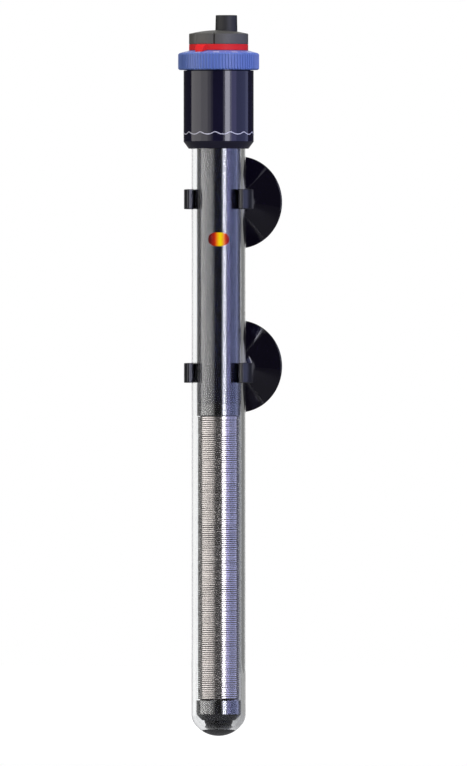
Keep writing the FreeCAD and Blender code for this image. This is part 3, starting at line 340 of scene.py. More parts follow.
def moulded(name, hex_code, roughness, grain_mm, relief_mm, ior=1.5, gloss_range=0.06, shine=0.5):
    """A moulded plastic or rubber: a tool texture, and slight changes of depth and gloss."""
    material, tree, shader = new_material(name)
    shader.inputs["IOR"].default_value = ior
    shader.inputs["Specular IOR Level"].default_value = shine
    patches = grain(tree, PATCH_SIZE)
    base = colour(hex_code)
    deeper = tuple(c * PATCH_DEPTH for c in base[:3]) + (1.0,)
    mix = add_node(tree, "ShaderNodeMix", {"Factor": patches, 6: deeper, 7: base}, data_type="RGBA")
    tree.links.new(mix.outputs[2], shader.inputs["Base Color"])
    gloss = ranged(tree, patches, 0.0, 1.0, roughness - gloss_range / 2, roughness + gloss_range / 2)
    tree.links.new(gloss, shader.inputs["Roughness"])
    bump = add_node(tree, "ShaderNodeBump", {
        "Height": grain(tree, grain_mm), "Strength": 1.0, "Distance": relief_mm * MM})
    tree.links.new(bump.outputs[0], shader.inputs["Normal"])
    return material


def metal(name, hex_code, roughness):
    """A metal whose gloss changes a little along its surface."""
    material, tree, shader = new_material(name)
    shader.inputs["Metallic"].default_value = 1.0
    shader.inputs["Base Color"].default_value = colour(hex_code)
    gloss = ranged(tree, grain(tree, METAL_PATCH), 0.0, 1.0,
                   roughness * (1 - METAL_RANGE), roughness * (1 + METAL_RANGE))
    tree.links.new(gloss, shader.inputs["Roughness"])
    return material


GLASS_TINT = 0.05


def drawn_glass():
    """Clear borosilicate tube glass as drawn: smooth, with only a breath of grey."""
    material, tree, shader = new_material("drawn_borosilicate_glass")
    shader.inputs["Base Color"].default_value = colour("#FBFCFC")
    shader.inputs["Transmission Weight"].default_value = 1.0
    shader.inputs["IOR"].default_value = 1.474
    shader.inputs["Roughness"].default_value = 0.0
    shader.inputs["Specular Tint"].default_value = (GLASS_TINT,) * 3 + (1.0,)
    return material


LAMP_SHIFT = 0.7
LAMP_REACH = 5.2
# colours of the lit lens, by their share of the way from the lamp's middle to its reach
LAMP_GLOW = ((0.0, "#EADE0A"), (0.14, "#E8B80E"), (0.28, "#DE8216"), (0.38, "#CD460D"), (0.48, "#A8240C"),
             (0.62, "#8A1209"), (0.79, "#4C0907"), (1.0, "#160404"))


def lit_lens():
    """The lamp alight behind red acrylic: a yellow bar in the middle that sinks to dark red at the ends."""
    material, tree, shader = new_material("moulded_red_acrylic")
    shader.inputs["Base Color"].default_value = colour("#4A0604")
    shader.inputs["Roughness"].default_value = 0.1
    shader.inputs["IOR"].default_value = 1.49
    shader.inputs["Specular IOR Level"].default_value = 0.03
    where = add_node(tree, "ShaderNodeTexCoord")
    lamp_at = (AXIS.dot(RIGHTWARD.to_2d()) + LAMP_SHIFT) * MM
    off = maths(tree, "SUBTRACT", dotted(tree, where.outputs["Object"], RIGHTWARD), lamp_at)
    away = add_node(tree, "ShaderNodeMath", {0: off}, operation="ABSOLUTE")
    across = ranged(tree, away.outputs[0], 0.0, LAMP_REACH * MM, 0.0, 1.0)
    ramp = add_node(tree, "ShaderNodeValToRGB", {"Fac": across})
    elements = ramp.color_ramp.elements
    # a new ramp has two stops, which become the first and the last
    elements[0].color = colour(LAMP_GLOW[0][1])
    elements[1].color = colour(LAMP_GLOW[-1][1])
    for position, code in LAMP_GLOW[1:-1]:
        elements.new(position).color = colour(code)
    tree.links.new(ramp.outputs[0], shader.inputs["Emission Color"])
    shader.inputs["Emission Strength"].default_value = 1.0
    return material


# Borosilicate tube glass as drawn: no texture, a breath of grey, soft reflections and bright, bent edges
glass = drawn_glass()
# ABS from a polished mould: deep navy, nearly black head on, with the studio's lamps mirrored as clean bands
navy = moulded("polished_navy_abs", "#121024", 0.1, 0.9, 0.0004)
# ABS from a spark-eroded mould: a matt blue with a fine grit that shows only close by
blue = moulded("matt_moulded_blue_abs", "#5770B2", 0.45, 0.12, 0.008)
# ABS from a ground mould: saturated signal red with hardly any gloss
red = moulded("moulded_red_abs", "#CE2628", 0.45, 0.5, 0.001, shine=0.12)
# ABS from a coarse spark-eroded mould: flat mid grey, a little brown, slightly patchy
grey = moulded("matt_moulded_grey_abs", "#4B4A46", 0.55, 0.15, 0.006)
# EPDM rubber, moulded: charcoal without gloss
gland_rubber = moulded("moulded_epdm_rubber", "#171718", 0.6, 0.2, 0.006)
# Glass-filled nylon, moulded: black with a satin gloss that shows the lamps as soft, bluish bars
clip_nylon = moulded("moulded_black_nylon", "#13131B", 0.3, 0.6, 0.001)
# Soft PVC from a polished mould: black, wet-looking, with thin sharp lines of light on its curves
cup_vinyl = moulded("moulded_soft_vinyl", "#0A0713", 0.05, 1.5, 0.0004, gloss_range=0.02)
# Smoked polycarbonate tube, extruded and polished: a dark blue-grey mirror behind the glass
smoked = moulded("extruded_smoked_polycarbonate", "#12142A", 0.07, 1.2, 0.00004, ior=2.0, gloss_range=0.03)
# PPS, moulded: black and hard, with a clear sheen
dark = moulded("moulded_black_pps", "#0C0B14", 0.08, 0.8, 0.0001, ior=2.2, gloss_range=0.02)
# Silicone rubber, moulded: black, soft, a weak broad sheen
bumper_rubber = moulded("moulded_silicone_rubber", "#0C0C10", 0.25, 0.3, 0.002)
# Steatite, fired unglazed: a white stone with fine pores, coloured a darker grey-beige as painted shade from
# between the wire's turns
ceramic = moulded("fired_steatite_painted_shade", "#6B645F", 0.6, 0.2, 0.004)
# Nickel-chrome wire, drawn and rolled flat: warm silver whose turns read as fine lines across the light
wire = metal("rolled_nickel_chrome_wire", "#C0BAB7", 0.14)
# Stainless steel, rolled and punched: even pale grey with a satin gloss
steel = metal("rolled_stainless_steel", "#B4B4B6", 0.3)
# Brass, turned and stamped: warm yellow, brushed by the tool
brass = metal("turned_brass", "#C8A050", 0.3)
# Phenolic paper board, pressed: brown and dull, with a fibrous speckle
board = moulded("pressed_phenolic_board", "#8C6B3C", 0.7, 0.3, 0.01)
# Acetal, moulded: milky white, waxy
white = moulded("moulded_acetal", "#E0E0DA", 0.4, 0.4, 0.002)
# Epoxy resin, dipped: amber brown, glossy, slightly lumpy
resin = moulded("dipped_epoxy_resin", "#C88A36", 0.3, 0.6, 0.003)
# Ferrite, sintered: dark iron grey with open pores
ferrite = moulded("sintered_ferrite", "#343436", 0.5, 0.2, 0.004)
# Pad-printed ink: thin flat white that lets a little of the ground through
print_white = moulded("pad_printed_white_ink", "#BEBEC9", 0.5, 0.1, 0.001)
# Acrylic from a polished mould, coloured through: it glows where the lamp is behind it
lens_red = lit_lens()


# Glass tube
DOME_HEIGHT = 9.6
DOME_KNUCKLE = 7.0
GLASS_WALL = 1.8
GLASS_LIP = 0.6
TUBE_RADIUS = radius_of("glass_tube")
TUBE_TOP = heights("glass_tube")[1]


def dome(wall):
    """Half of the domed end at a depth of wall in the glass, from the axis to the straight wall."""
    inset = TUBE_RADIUS - DOME_KNUCKLE
    crown = (inset ** 2 + DOME_HEIGHT ** 2 - DOME_KNUCKLE ** 2) / (2 * (DOME_HEIGHT - DOME_KNUCKLE))
    share = (crown - wall) / (crown - DOME_KNUCKLE)
    meet = (share * inset, crown - share * (crown - DOME_HEIGHT))
    points = [(0, wall)] + bow((0, wall), meet, crown - wall, 24)
    return points + bow(meet, (TUBE_RADIUS - wall, DOME_HEIGHT), DOME_KNUCKLE - wall, 16)


def make_glass_tube():
    outline = dome(0) + [(TUBE_RADIUS, TUBE_TOP, GLASS_LIP), (TUBE_RADIUS - GLASS_WALL, TUBE_TOP, GLASS_LIP)]
    outline += list(reversed(dome(GLASS_WALL)))
    finished(turned("tube_glass", outline, STAND, 256), glass, "heater", "clear_glass", "glass_tube")


# Bumper, spacer, core and collar
BUMPER_SQUEEZE = 0.05
BUMPER_SEAT = 6.5
LIP_REACH = 0.5
LIP_HEIGHT = 1.0
LIP_SLOPE = 0.6
BUMPER_SOCKET = 1.2


def make_bumper():
    """Its belly is pressed flat on the inside of the dome, so no air is left between them."""
    top = heights("bottom_bumper")[1]
    lip = radius_of("bottom_bumper")
    body = lip - LIP_REACH
    lip_foot = top - LIP_HEIGHT
    floor = top - BUMPER_SOCKET
    outline = [point for point in dome(GLASS_WALL - BUMPER_SQUEEZE) if point[0] <= BUMPER_SEAT]
    outline += bow(outline[-1], (body, outline[-1][1] + 0.4), 0.4, 4)
    outline += [(body, lip_foot - LIP_SLOPE), (lip, lip_foot, 0.2), (lip, top, 0.25), (2.0, top, 0.2),
                (1.4, floor), (0, floor)]
    finished(turned("dome_bumper", outline, STAND), bumper_rubber, "heater", "soft_rubber", "bottom_bumper")


# room round the core in the sockets of the spacer and the collar
CORE_FIT = 0.15
SPACER_SWELL = 0.1
TAPER = 2.35
TAPER_HEIGHT = 2.6
SPACER_SOCKET = 3.0


def make_spacer():
    """A cup on the core's foot whose lower edge tapers into the dome."""
    bottom, top = heights("bottom_spacer")
    radius = radius_of("bottom_spacer") + SPACER_SWELL
    socket = radius_of("ceramic_core") + CORE_FIT
    floor = top - SPACER_SOCKET
    outline = [(0, bottom), (radius - TAPER, bottom, 0.3), (radius, bottom + TAPER_HEIGHT, 0.5),
               (radius, top, 0.25), (socket, top, 0.1), (socket, floor), (0, floor)]
    finished(turned("foot_spacer", outline, STAND), dark, "heater", "dark_plastic", "bottom_spacer")


CORE_BORE = 2.5
CORE_RIBS = 24
CORE_RIB_RISE = 0.35


def make_core():
    """The ceramic rod has fine ribs along it that carry the wire."""
    bottom, top = heights("ceramic_core")
    radius = radius_of("ceramic_core")
    low, high = heights("heating_wire")

    def ribbed(angle, r, height):
        if r < radius - 0.01 or not low < height < high:
            return r
        return r + CORE_RIB_RISE * max(0, math.cos(CORE_RIBS * angle)) ** 2

    outline = [(radius, z) for z in (bottom, low + 0.2, low + 0.25, high - 0.25, high - 0.2, top)]
    outline = [(CORE_BORE, bottom)] + outline + [(CORE_BORE, top)]
    core = turned("winding_core", outline, STAND, 192, ribbed)
    # the core's grey-beige is painted shade from between the wire's turns over white steatite
    finished(core, ceramic, "heater", "white_ceramic", "ceramic_core")


COLLAR_FLANGE = 5.6
COLLAR_STEP = 0.8
COLLAR_BORE = 2.6
COLLAR_SOCKET = 8.0


def make_collar():
    """It holds the core's head and stands in the sleeve."""
    bottom, top = heights("core_collar")
    radius = radius_of("core_collar")
    spigot = radius - COLLAR_STEP
    socket = radius_of("ceramic_core") + CORE_FIT
    step = bottom + COLLAR_FLANGE
    roof = bottom + COLLAR_SOCKET
    outline = [(socket, bottom, 0.1), (radius, bottom, 0.3), (radius, step, 0.1), (spigot, step),
               (spigot, top, 0.4), (COLLAR_BORE, top, 0.2), (COLLAR_BORE, roof), (socket, roof)]
    finished(turned("winding_collar", outline, STAND), dark, "heater", "dark_plastic", "core_collar")


# Winding: one wire round the core, laid by machine, so its pitch wanders a little
WIRE_THICKNESS = 0.4
WIRE_WIDTH = 0.8
WIRE_TURNS = 144
WIRE_SIDES = 10
WIRE_STEPS = 40
WIRE_STAND = 0.3
# the wire is rolled flat: its outer face is nearly straight and its edges are round
WIRE_FACE_POWER = 0.4
WIRE_EDGE_POWER = 0.5
# spread and least of the pitch as shares of the mean, and the wire's play in radius
PITCH_SPREAD = 0.1
PITCH_LEAST = 0.86
SLACK_LOW, SLACK_HIGH = -0.05, 0.03
SLACK_STEPS = 3
# both ends dive into the pieces that hold them
DIVE_STEPS = 6
DIVE = 0.12


def make_winding():
    bottom, top = heights("heating_wire")
    radius = radius_of("heating_wire") + WIRE_STAND - WIRE_THICKNESS / 2
    chance = random.Random(7)
    half = WIRE_WIDTH / 2
    profile = []
    for n in range(WIRE_SIDES):
        around = 2 * math.pi * n / WIRE_SIDES
        profile.append((powered(math.cos(around), WIRE_FACE_POWER) * WIRE_THICKNESS / 2,
                        powered(math.sin(around), WIRE_EDGE_POWER) * half))
    lifts = [0.0]
    for _ in range(WIRE_TURNS):
        lifts.append(lifts[-1] + max(chance.gauss(1.0, PITCH_SPREAD), PITCH_LEAST))
    low, high = bottom + half, top - half
    lifts = [low + (high - low) * lift / lifts[-1] for lift in lifts]
    slack = [chance.uniform(SLACK_LOW, SLACK_HIGH) for _ in range(WIRE_TURNS * SLACK_STEPS + 2)]
    sections = []
    total = WIRE_TURNS * WIRE_STEPS
    for i in range(-DIVE_STEPS, total + DIVE_STEPS + 1):
        turn = min(max(i / WIRE_STEPS, 0), WIRE_TURNS)
        k = min(int(turn), WIRE_TURNS - 1)
        height = lifts[k] + (lifts[k + 1] - lifts[k]) * (turn - k)
        height += DIVE * (min(i, 0) + max(i - total, 0))
        along_slack = turn * SLACK_STEPS
        j = int(along_slack)
        r = radius + slack[j] + (slack[j + 1] - slack[j]) * (along_slack - j)
        angle = 2 * math.pi * i / WIRE_STEPS
        out = Vector((math.cos(angle), math.sin(angle), 0))
        centre = out * r + Vector((0, 0, height))
        sections.append([centre + out * proud + Vector((0, 0, along)) for proud, along in profile])
    winding = lofted("wound_wire", sections, STAND, sharp=80.0)
    finished(winding, wire, "heater", "resistance_wire", "heating_wire")


# Sleeve with the lamp's window and lens
LENS_HALF_X = 4.45
LENS_HALF_Z = 3.05
LENS_SQUARENESS = 2.4
LENS_CROWN = 0.2
LENS_PLUG = 0.88
LENS_GAP = 0.1
LENS_DEPTH = 1.6
LENS_SEAT = 0.02
LENS_EDGE = 0.22
SLEEVE_WALL = 0.6


def oval(half_width, half_height, steps=64):
    """Points round an oval between an ellipse and a rectangle, x across and z up."""
    points = []
    power = 2 / LENS_SQUARENESS
    for k in range(steps):
        around = 2 * math.pi * k / steps
        points.append((powered(math.cos(around), power) * half_width,
                       powered(math.sin(around), power) * half_height))
    return points


def make_sleeve():
    """A thin tube with a window that the lens's plug fills."""
    bottom, top = heights("inner_sleeve")
    radius = radius_of("inner_sleeve")
    bore = radius - SLEEVE_WALL
    outline = [(bore, bottom), (radius, bottom, 0.1), (radius, top, 0.1), (bore, top)]
    sleeve = turned("smoked_sleeve", outline, STAND, 192)
    low, high = heights("lamp_lens")
    middle = (low + high) / 2
    window = oval(LENS_HALF_X * LENS_PLUG + LENS_GAP, LENS_HALF_Z * LENS_PLUG + LENS_GAP)
    sections = [[(x, y, middle + z) for x, z in window] for y in (-radius - 2, 0)]
    worked(sleeve, lofted("window", sections, STAND))
    finished(sleeve, smoked, "heater", "sleeve_plastic", "inner_sleeve")


def make_lens():
    """Its plug fills the window and its thin flange lies on the sleeve round it."""
    low, high = heights("lamp_lens")
    middle = (low + high) / 2
    skin = radius_of("inner_sleeve")
    # share of the oval and distance from the axis: plug, flange, rounding and crown
    levels = [(0.02, skin - LENS_DEPTH), (LENS_PLUG, skin - LENS_DEPTH), (LENS_PLUG, skin + LENS_SEAT),
              (1.0, skin + LENS_SEAT), (1.0, skin + 0.08)]
    levels += [(1 - 0.05 * math.sin(t) ** 2, skin + LENS_EDGE - 0.14 * math.cos(t))
               for t in (0.4, 0.8, 1.2, 1.5)]
    levels += [(s, skin + LENS_EDGE + LENS_CROWN * (1 - s * s)) for s in (0.9, 0.75, 0.6, 0.4, 0.2, 0.02)]
    sections = []
    for scale, out in levels:
        sections.append([(x * scale, -math.sqrt(out ** 2 - (x * scale) ** 2), middle + z * scale)
                         for x, z in oval(LENS_HALF_X, LENS_HALF_Z)])
    lens = lofted("signal_lens", sections, STAND, sharp=60.0)
    finished(lens, lens_red, "heater", "lens_plastic", "lamp_lens")


make_glass_tube()
make_bumper()
make_spacer()
make_core()
make_collar()
make_winding()
make_sleeve()
make_lens()


# Head housing
HUB_X = 3.44
SPINDLE_X = -6.0
HEAD_RADIUS = radius_of("head_housing")
HEAD_BOTTOM, HUB_TOP = heights("head_housing")
DIAL_BOTTOM, DIAL_TOP = heights("setting_dial")
SHOULDER = DIAL_BOTTOM - 0.3
DECK = SHOULDER + 4.4
DECK_THICKNESS = 2.2
NECK_RADIUS = HEAD_RADIUS - 1.45
MOUTH_FIT = 0.15
MOUTH_RIM = 1.15
CHAMFER_HEIGHT = 3.2
LEDGE_WIDTH = 0.95
LEDGE_RISE = 2.65
HUB_RADIUS = 4.9
HUB_BORE = 3.4
SPINDLE_BOSS = 3.6
BOSS_DROP = 6.2
SPINDLE_BORE = 1.55
SEAL_BORE = 3.0
SEAL_DROP = 4.5


def make_head():
    """A shell over the tube's mouth, with a hub for the gland and a boss for the spindle."""
    mouth = TUBE_RADIUS + MOUTH_FIT
    throat = mouth - LEDGE_WIDTH
    ledge = TUBE_TOP + LEDGE_RISE
    ceiling = DECK - DECK_THICKNESS
    outline = [(0, ceiling), (throat, ceiling), (throat, ledge), (mouth, ledge), (mouth, HEAD_BOTTOM, 0.15),
               (mouth + MOUTH_RIM, HEAD_BOTTOM, 0.5), (HEAD_RADIUS, HEAD_BOTTOM + CHAMFER_HEIGHT, 0.6),
               (HEAD_RADIUS, SHOULDER, 0.3), (NECK_RADIUS, SHOULDER, 0.1), (NECK_RADIUS, DECK, 0.2), (0, DECK)]
    head = turned("head_shell", outline, STAND, 192)
    # each tool reaches past the faces that it joins or opens
    worked(head, rod(HUB_RADIUS, DECK - 1, HUB_TOP, STAND, HUB_X), "UNION")
    worked(head, rod(SPINDLE_BOSS, DECK - BOSS_DROP, DECK - 1, STAND, SPINDLE_X), "UNION")
    worked(head, rod(HUB_BORE, DECK - 4, HUB_TOP + 2, STAND, HUB_X))
    worked(head, rod(SPINDLE_BORE, DECK - 8, DECK + 2, STAND, SPINDLE_X))
    worked(head, rod(SEAL_BORE, DECK - 8, DECK - SEAL_DROP, STAND, SPINDLE_X))
    finished(head, navy, "heater", "navy_plastic", "head_housing")


# Water line: a thin printed wave right round the head
WAVES = 14
WAVE_HEIGHT = 267.5
WAVE_SWING = 0.48
WAVE_CREST = -5.7
WAVE_LINE = 0.4
WAVE_PEAK = 0.2
PRINT_HALF = 0.02


def make_water_line():
    """A wave of even width with narrow crests."""
    inner, outer = HEAD_RADIUS - PRINT_HALF, HEAD_RADIUS + PRINT_HALF
    sections = []
    steps = WAVES * 24
    for i in range(steps):
        angle = 2 * math.pi * i / steps
        phase = WAVES * (angle + math.pi / 2 - math.radians(WAVE_CREST))
        height = WAVE_HEIGHT + WAVE_SWING * (math.cos(phase) + WAVE_PEAK * math.cos(2 * phase))
        slope = -WAVE_SWING * WAVES * (math.sin(phase) + 2 * WAVE_PEAK * math.sin(2 * phase)) / HEAD_RADIUS
        half = WAVE_LINE / 2 * math.hypot(1, slope)
        under, over = height - half, height + half
        sections.append(swung([(inner, under), (outer, under), (outer, over), (inner, over)], angle))
    finished(lofted("water_line_print", sections, STAND, closed=True), print_white, "heater", "navy_plastic")


# Setting dial, with its scale on the cone
DIAL_RADIUS = radius_of("setting_dial")
DIAL_RIBS = 80
RIB_DEPTH = 0.4
CONE_HEIGHT = 1.2
RIB_HALF = 0.5
RIB_FLANK = 0.28
RIB_END = 0.25
RIB_RUN_OUT = 0.35
RING_RADIUS = HEAD_RADIUS - 2.5
GEAR_TEETH = 30
GEAR_MODULE = 0.6
GEAR_ROOT = 9.75
GEAR_BOTTOM = DECK + 0.3
GEAR_TOP = DECK + 3.3
# points of a tooth's flank: out from the pitch circle and aside from the middle, in modules
GEAR_TOOTH = ((-0.70, -0.47), (0.0, -0.70), (1.25, -1.36))


def make_dial():
    """A collar with rounded ribs on its side and a ring of teeth inside."""
    side = DIAL_RADIUS - RIB_DEPTH
    shoulder = DIAL_TOP - CONE_HEIGHT
    neck = NECK_RADIUS + 0.3

    def ribbed(angle, r, height):
        if r < side - 0.05:
            return r
        inside = min(height - DIAL_BOTTOM - RIB_END, shoulder - RIB_END - height)
        fade = clamped(inside / RIB_RUN_OUT)
        phase = (angle * DIAL_RIBS / (2 * math.pi)) % 1 - 0.5
        off = abs(phase) * 2 * math.pi * side / DIAL_RIBS
        crest = clamped((RIB_HALF - off) / RIB_FLANK)
        return r + RIB_DEPTH * fade ** 0.5 * crest * crest * (3 - 2 * crest)

    outline = [(neck, DIAL_BOTTOM, 0.15), (side, DIAL_BOTTOM, 0.3)]
    outline += [(side, DIAL_BOTTOM + rise) for rise in (0.35, 0.45, 0.55, 0.62)]
    outline += [(side, shoulder - drop) for drop in (0.62, 0.55, 0.45, 0.35)]
    outline += [(side, shoulder, 0.3), (RING_RADIUS, DIAL_TOP), (GEAR_ROOT, DIAL_TOP, 0.15),
                (GEAR_ROOT, GEAR_BOTTOM), (neck, GEAR_BOTTOM)]
    finished(turned("ribbed_dial", outline, STAND, DIAL_RIBS * 12, ribbed),
             blue, "dial", "blue_plastic", "setting_dial")
    pitch_radius = GEAR_TEETH * GEAR_MODULE / 2
    walk = []
    for n in range(GEAR_TEETH):
        middle = 2 * math.pi * (n + 0.5) / GEAR_TEETH + math.pi
        for side_sign, levels in ((1, reversed(GEAR_TOOTH)), (-1, GEAR_TOOTH)):
            for out, wide in levels:
                radius = pitch_radius + out * GEAR_MODULE
                walk.append((middle + side_sign * wide * GEAR_MODULE / radius, radius))
    outer = GEAR_ROOT + 0.2
    sections = []
    for angle, inner in walk:
        sections.append(swung([(inner, GEAR_BOTTOM), (outer, GEAR_BOTTOM),
                               (outer, GEAR_TOP), (inner, GEAR_TOP)], angle))
    finished(lofted("dial_teeth", sections, STAND, closed=True, sharp=20.0), blue, "dial", "blue_plastic")


SCALE_FIRST, SCALE_LAST, SCALE_STEP = 18, 34, 2
SCALE_SPACING = 30.0
POINTER_TURN = -34.0
NUMERAL_HEIGHT = 2.1
NUMERAL_SIZE = NUMERAL_HEIGHT * 1.4
NUMERAL_RADIUS = 15.9
# the marks between the numerals
MARK_HALF = 0.13
MARK_REACH = (-0.4, 0.5)
CONE_FALL = CONE_HEIGHT / (DIAL_RADIUS - RIB_DEPTH - RING_RADIUS)


def on_cone(across, inward, lift, turn):
    """A point of the dial's cone: across and inward from where the numerals stand, at a turn from the front."""
    radius = NUMERAL_RADIUS - inward
    angle = math.radians(turn - 90) + across / NUMERAL_RADIUS
    height = DIAL_TOP - (radius - RING_RADIUS) * CONE_FALL + lift
    return radius * math.cos(angle), radius * math.sin(angle), height


def make_scale():
    """Numerals with a mark between each two, as thin prints on the cone."""
    vertices = []
    faces = []

    def stamp(points, polygons, turn):
        start = len(vertices)
        vertices.extend(on_cone(x, y, z, turn) for x, y, z in points)
        faces.extend(tuple(start + i for i in polygon) for polygon in polygons)

    for number in range(SCALE_FIRST, SCALE_LAST + 1):
        turn = POINTER_TURN + (number - (SCALE_FIRST + SCALE_LAST) / 2) * SCALE_SPACING / SCALE_STEP
        if number % SCALE_STEP:
            w, t = MARK_HALF, PRINT_HALF
            a, b = MARK_REACH
            box = [(x, y, z) for z in (-t, t) for x, y in ((-w, a), (w, a), (w, b), (-w, b))]
            stamp(box, [(3, 2, 1, 0), (4, 5, 6, 7), (0, 1, 5, 4), (1, 2, 6, 5), (2, 3, 7, 6),
                        (3, 0, 4, 7)], turn)
            continue
        text = bpy.data.curves.new("numeral", "FONT")
        text.body = str(number)
        text.size = NUMERAL_SIZE
        text.align_x = "CENTER"
        text.extrude = PRINT_HALF
        text.resolution_u = 3
        holder = new_object("numeral", text)
        drawn = bpy.data.meshes.new_from_object(holder.evaluated_get(bpy.context.evaluated_depsgraph_get()))
        points = [(v.co.x, v.co.y - NUMERAL_HEIGHT / 2, v.co.z) for v in drawn.vertices]
        stamp(points, [tuple(p.vertices) for p in drawn.polygons], turn)
        bpy.data.objects.remove(holder)
        bpy.data.curves.remove(text)
        bpy.data.meshes.remove(drawn)
    finished(new_piece("scale_print", vertices, faces, STAND), print_white, "dial", "blue_plastic")


# Red ring with its pointer
CAP_REST = heights("calibration_ring")[1] + 0.2
RING_GAP = 0.06
RING_WIDTH = 2.05
POINTER_ROOT = 1.4
POINTER_REACH = 2.9
POINTER_HALF = 2.5
POINTER_TAPER = 0.4
POINTER_TUCK = 0.7
POINTER_EASE = 0.22


def make_red_ring():
    """It runs close between the dial and the cap; the pointer is a rounded tab that leans over the cone."""
    high = CAP_REST - RING_GAP
    bottom = DIAL_TOP + RING_GAP
    bore = RING_RADIUS - RING_WIDTH
    outline = [(bore, bottom, 0.1), (RING_RADIUS, bottom, 0.15), (RING_RADIUS, high, 0.2), (bore, high, 0.15)]
    ring = turned("pointer_ring", outline, STAND, 192)
    turn = Matrix.Rotation(math.radians(POINTER_TURN), 4, "Z")
    rooted, tip = RING_RADIUS - POINTER_ROOT, RING_RADIUS + POINTER_REACH
    ease = POINTER_EASE
    sections = []
    for share in (0, 0.25, 0.35, 0.5, 0.65, 0.8, 0.88, 0.94, 0.98, 1.0):
        out = rooted + (tip - rooted) * share
        past = max(out - RING_RADIUS, 0)
        # the last fifth is rounded off on all sides
        tuck = POINTER_TUCK * (1 - math.sqrt(1 - max((share - 0.8) / 0.2, 0) ** 2))
        half = POINTER_HALF - POINTER_TAPER * share - tuck
        under = bottom - CONE_FALL * past
        crown = high - 0.15 + (under + 1.1 - high) * (past / POINTER_REACH) ** 2 - tuck
        sections.append([(x, -out, z) for x, z in (
            (-half, under), (half, under), (half, crown - ease), (half - ease, crown), (ease - half, crown),
            (-half, crown - ease))])
    worked(ring, lofted("pointer", sections, STAND @ turn), "UNION")
    finished(ring, red, "calibration_ring", "red_plastic", "calibration_ring")


# Grey cap: a shallow flat on its left front ends in a groove
GROOVE_TURN = -9.0
GROOVE_DEPTH = 0.9
GROOVE_HALF = 0.36
GROOVE_FLANK = 0.08
FLAT_END = -54.0
FLAT_DEPTH = 0.2
FLAT_RUN_IN = 0.6
FLAT_RUN_OUT = 2.5
CAP_SIDE = 4.7
CAP_EDGE = 0.35
CAP_SPIGOT = RING_RADIUS - 2.35
CAP_ROOF = HUB_TOP + 1.6
CAP_SHARP = 25.0
# radii of the gland, and the room round it
GLAND_FLANGE = 6.4
GLAND_BODY = 4.9
GLAND_TOP = 4.75
GLAND_BORE = 3.2
GLAND_FIT = 0.05


def make_cap():
    """A shallow crown over a spigot that goes into the ring."""
    bottom, top = heights("top_cap")
    rim = CAP_REST + CAP_SIDE
    edge = RING_RADIUS - 0.3
    rise = top - rim
    crown = (edge ** 2 + rise ** 2) / (2 * rise)
    skirt = CAP_SPIGOT + 0.5

    def cut(angle, r, height):
        if r < skirt or height < CAP_REST - 0.5:
            return r
        turn = (math.degrees(angle) + 90 + 180) % 360 - 180
        slot = abs(turn - GROOVE_TURN) * math.pi / 180 * RING_RADIUS
        groove = GROOVE_DEPTH * clamped((GROOVE_HALF - slot) / GROOVE_FLANK)
        start = clamped((GROOVE_TURN - turn) / FLAT_RUN_IN)
        end = clamped((turn - FLAT_END) / FLAT_RUN_OUT)
        return r - max(groove, FLAT_DEPTH * start * end) * min(1, (r - skirt) / 1.2)

    shoulder = (edge - CAP_EDGE, rim + CAP_EDGE * edge / crown)
    outline = [(0, bottom), (CAP_SPIGOT, bottom, 0.2), (CAP_SPIGOT, CAP_REST, 0.05),
               (RING_RADIUS, CAP_REST, 0.15), (RING_RADIUS, rim, 0.35), shoulder]
    outline += bow(shoulder, (0, top), crown, 16)
    cap = turned("grey_cap", outline, STAND, 720, cut, CAP_SHARP)
    chamber = rod(GLAND_FLANGE + GLAND_FIT, bottom - 1, CAP_ROOF, STAND, HUB_X)
    worked(cap, chamber, sharp=CAP_SHARP)
    opening = rod(GLAND_BODY + GLAND_FIT, CAP_ROOF - 1, top + 2, STAND, HUB_X)
    worked(cap, opening, sharp=CAP_SHARP)
    finished(cap, grey, "heater", "grey_plastic", "top_cap")


def make_gland():
    """A boot over the hub, held by its flange under the cap."""
    bottom, top = heights("cord_gland")
    cap_top = heights("top_cap")[1]
    web = HUB_TOP + 0.15
    flange_top = web + 1.3
    skirt = HUB_RADIUS + GLAND_FIT
    outline = [(GLAND_BORE, web), (skirt, web), (skirt, bottom), (GLAND_FLANGE, bottom, 0.2),
               (GLAND_FLANGE, flange_top, 0.2), (GLAND_BODY, flange_top), (GLAND_BODY, cap_top),
               (GLAND_TOP, top, 0.3), (GLAND_BORE, top, 0.25)]
    place = STAND @ Matrix.Translation((HUB_X, 0, 0))
    finished(turned("gland_boot", outline, place, 96), gland_rubber, "heater", "gland_rubber", "cord_gland")


make_head()
make_water_line()
make_dial()
make_scale()
make_red_ring()
make_cap()
make_gland()


# Clips and suction cups, square to the wall
OPEN_RIGHT = 67.0
OPEN_LEFT = 45.0
CLIP_WALL = 3.15
CLIP_HEIGHT = 8.8
CLIP_LIP = 0.84
CLIP_RISES = {"upper": 1.2, "lower": -2.9}
CLIP_EDGE = 0.35
CLIP_STEPS = 96
CLIP_SHARP = 50.0
BOSS_RADIUS = 6.0
BOSS_STAND = 0.8
STEM_HOLE = 2.75
KNOB_HOLE = 3.7


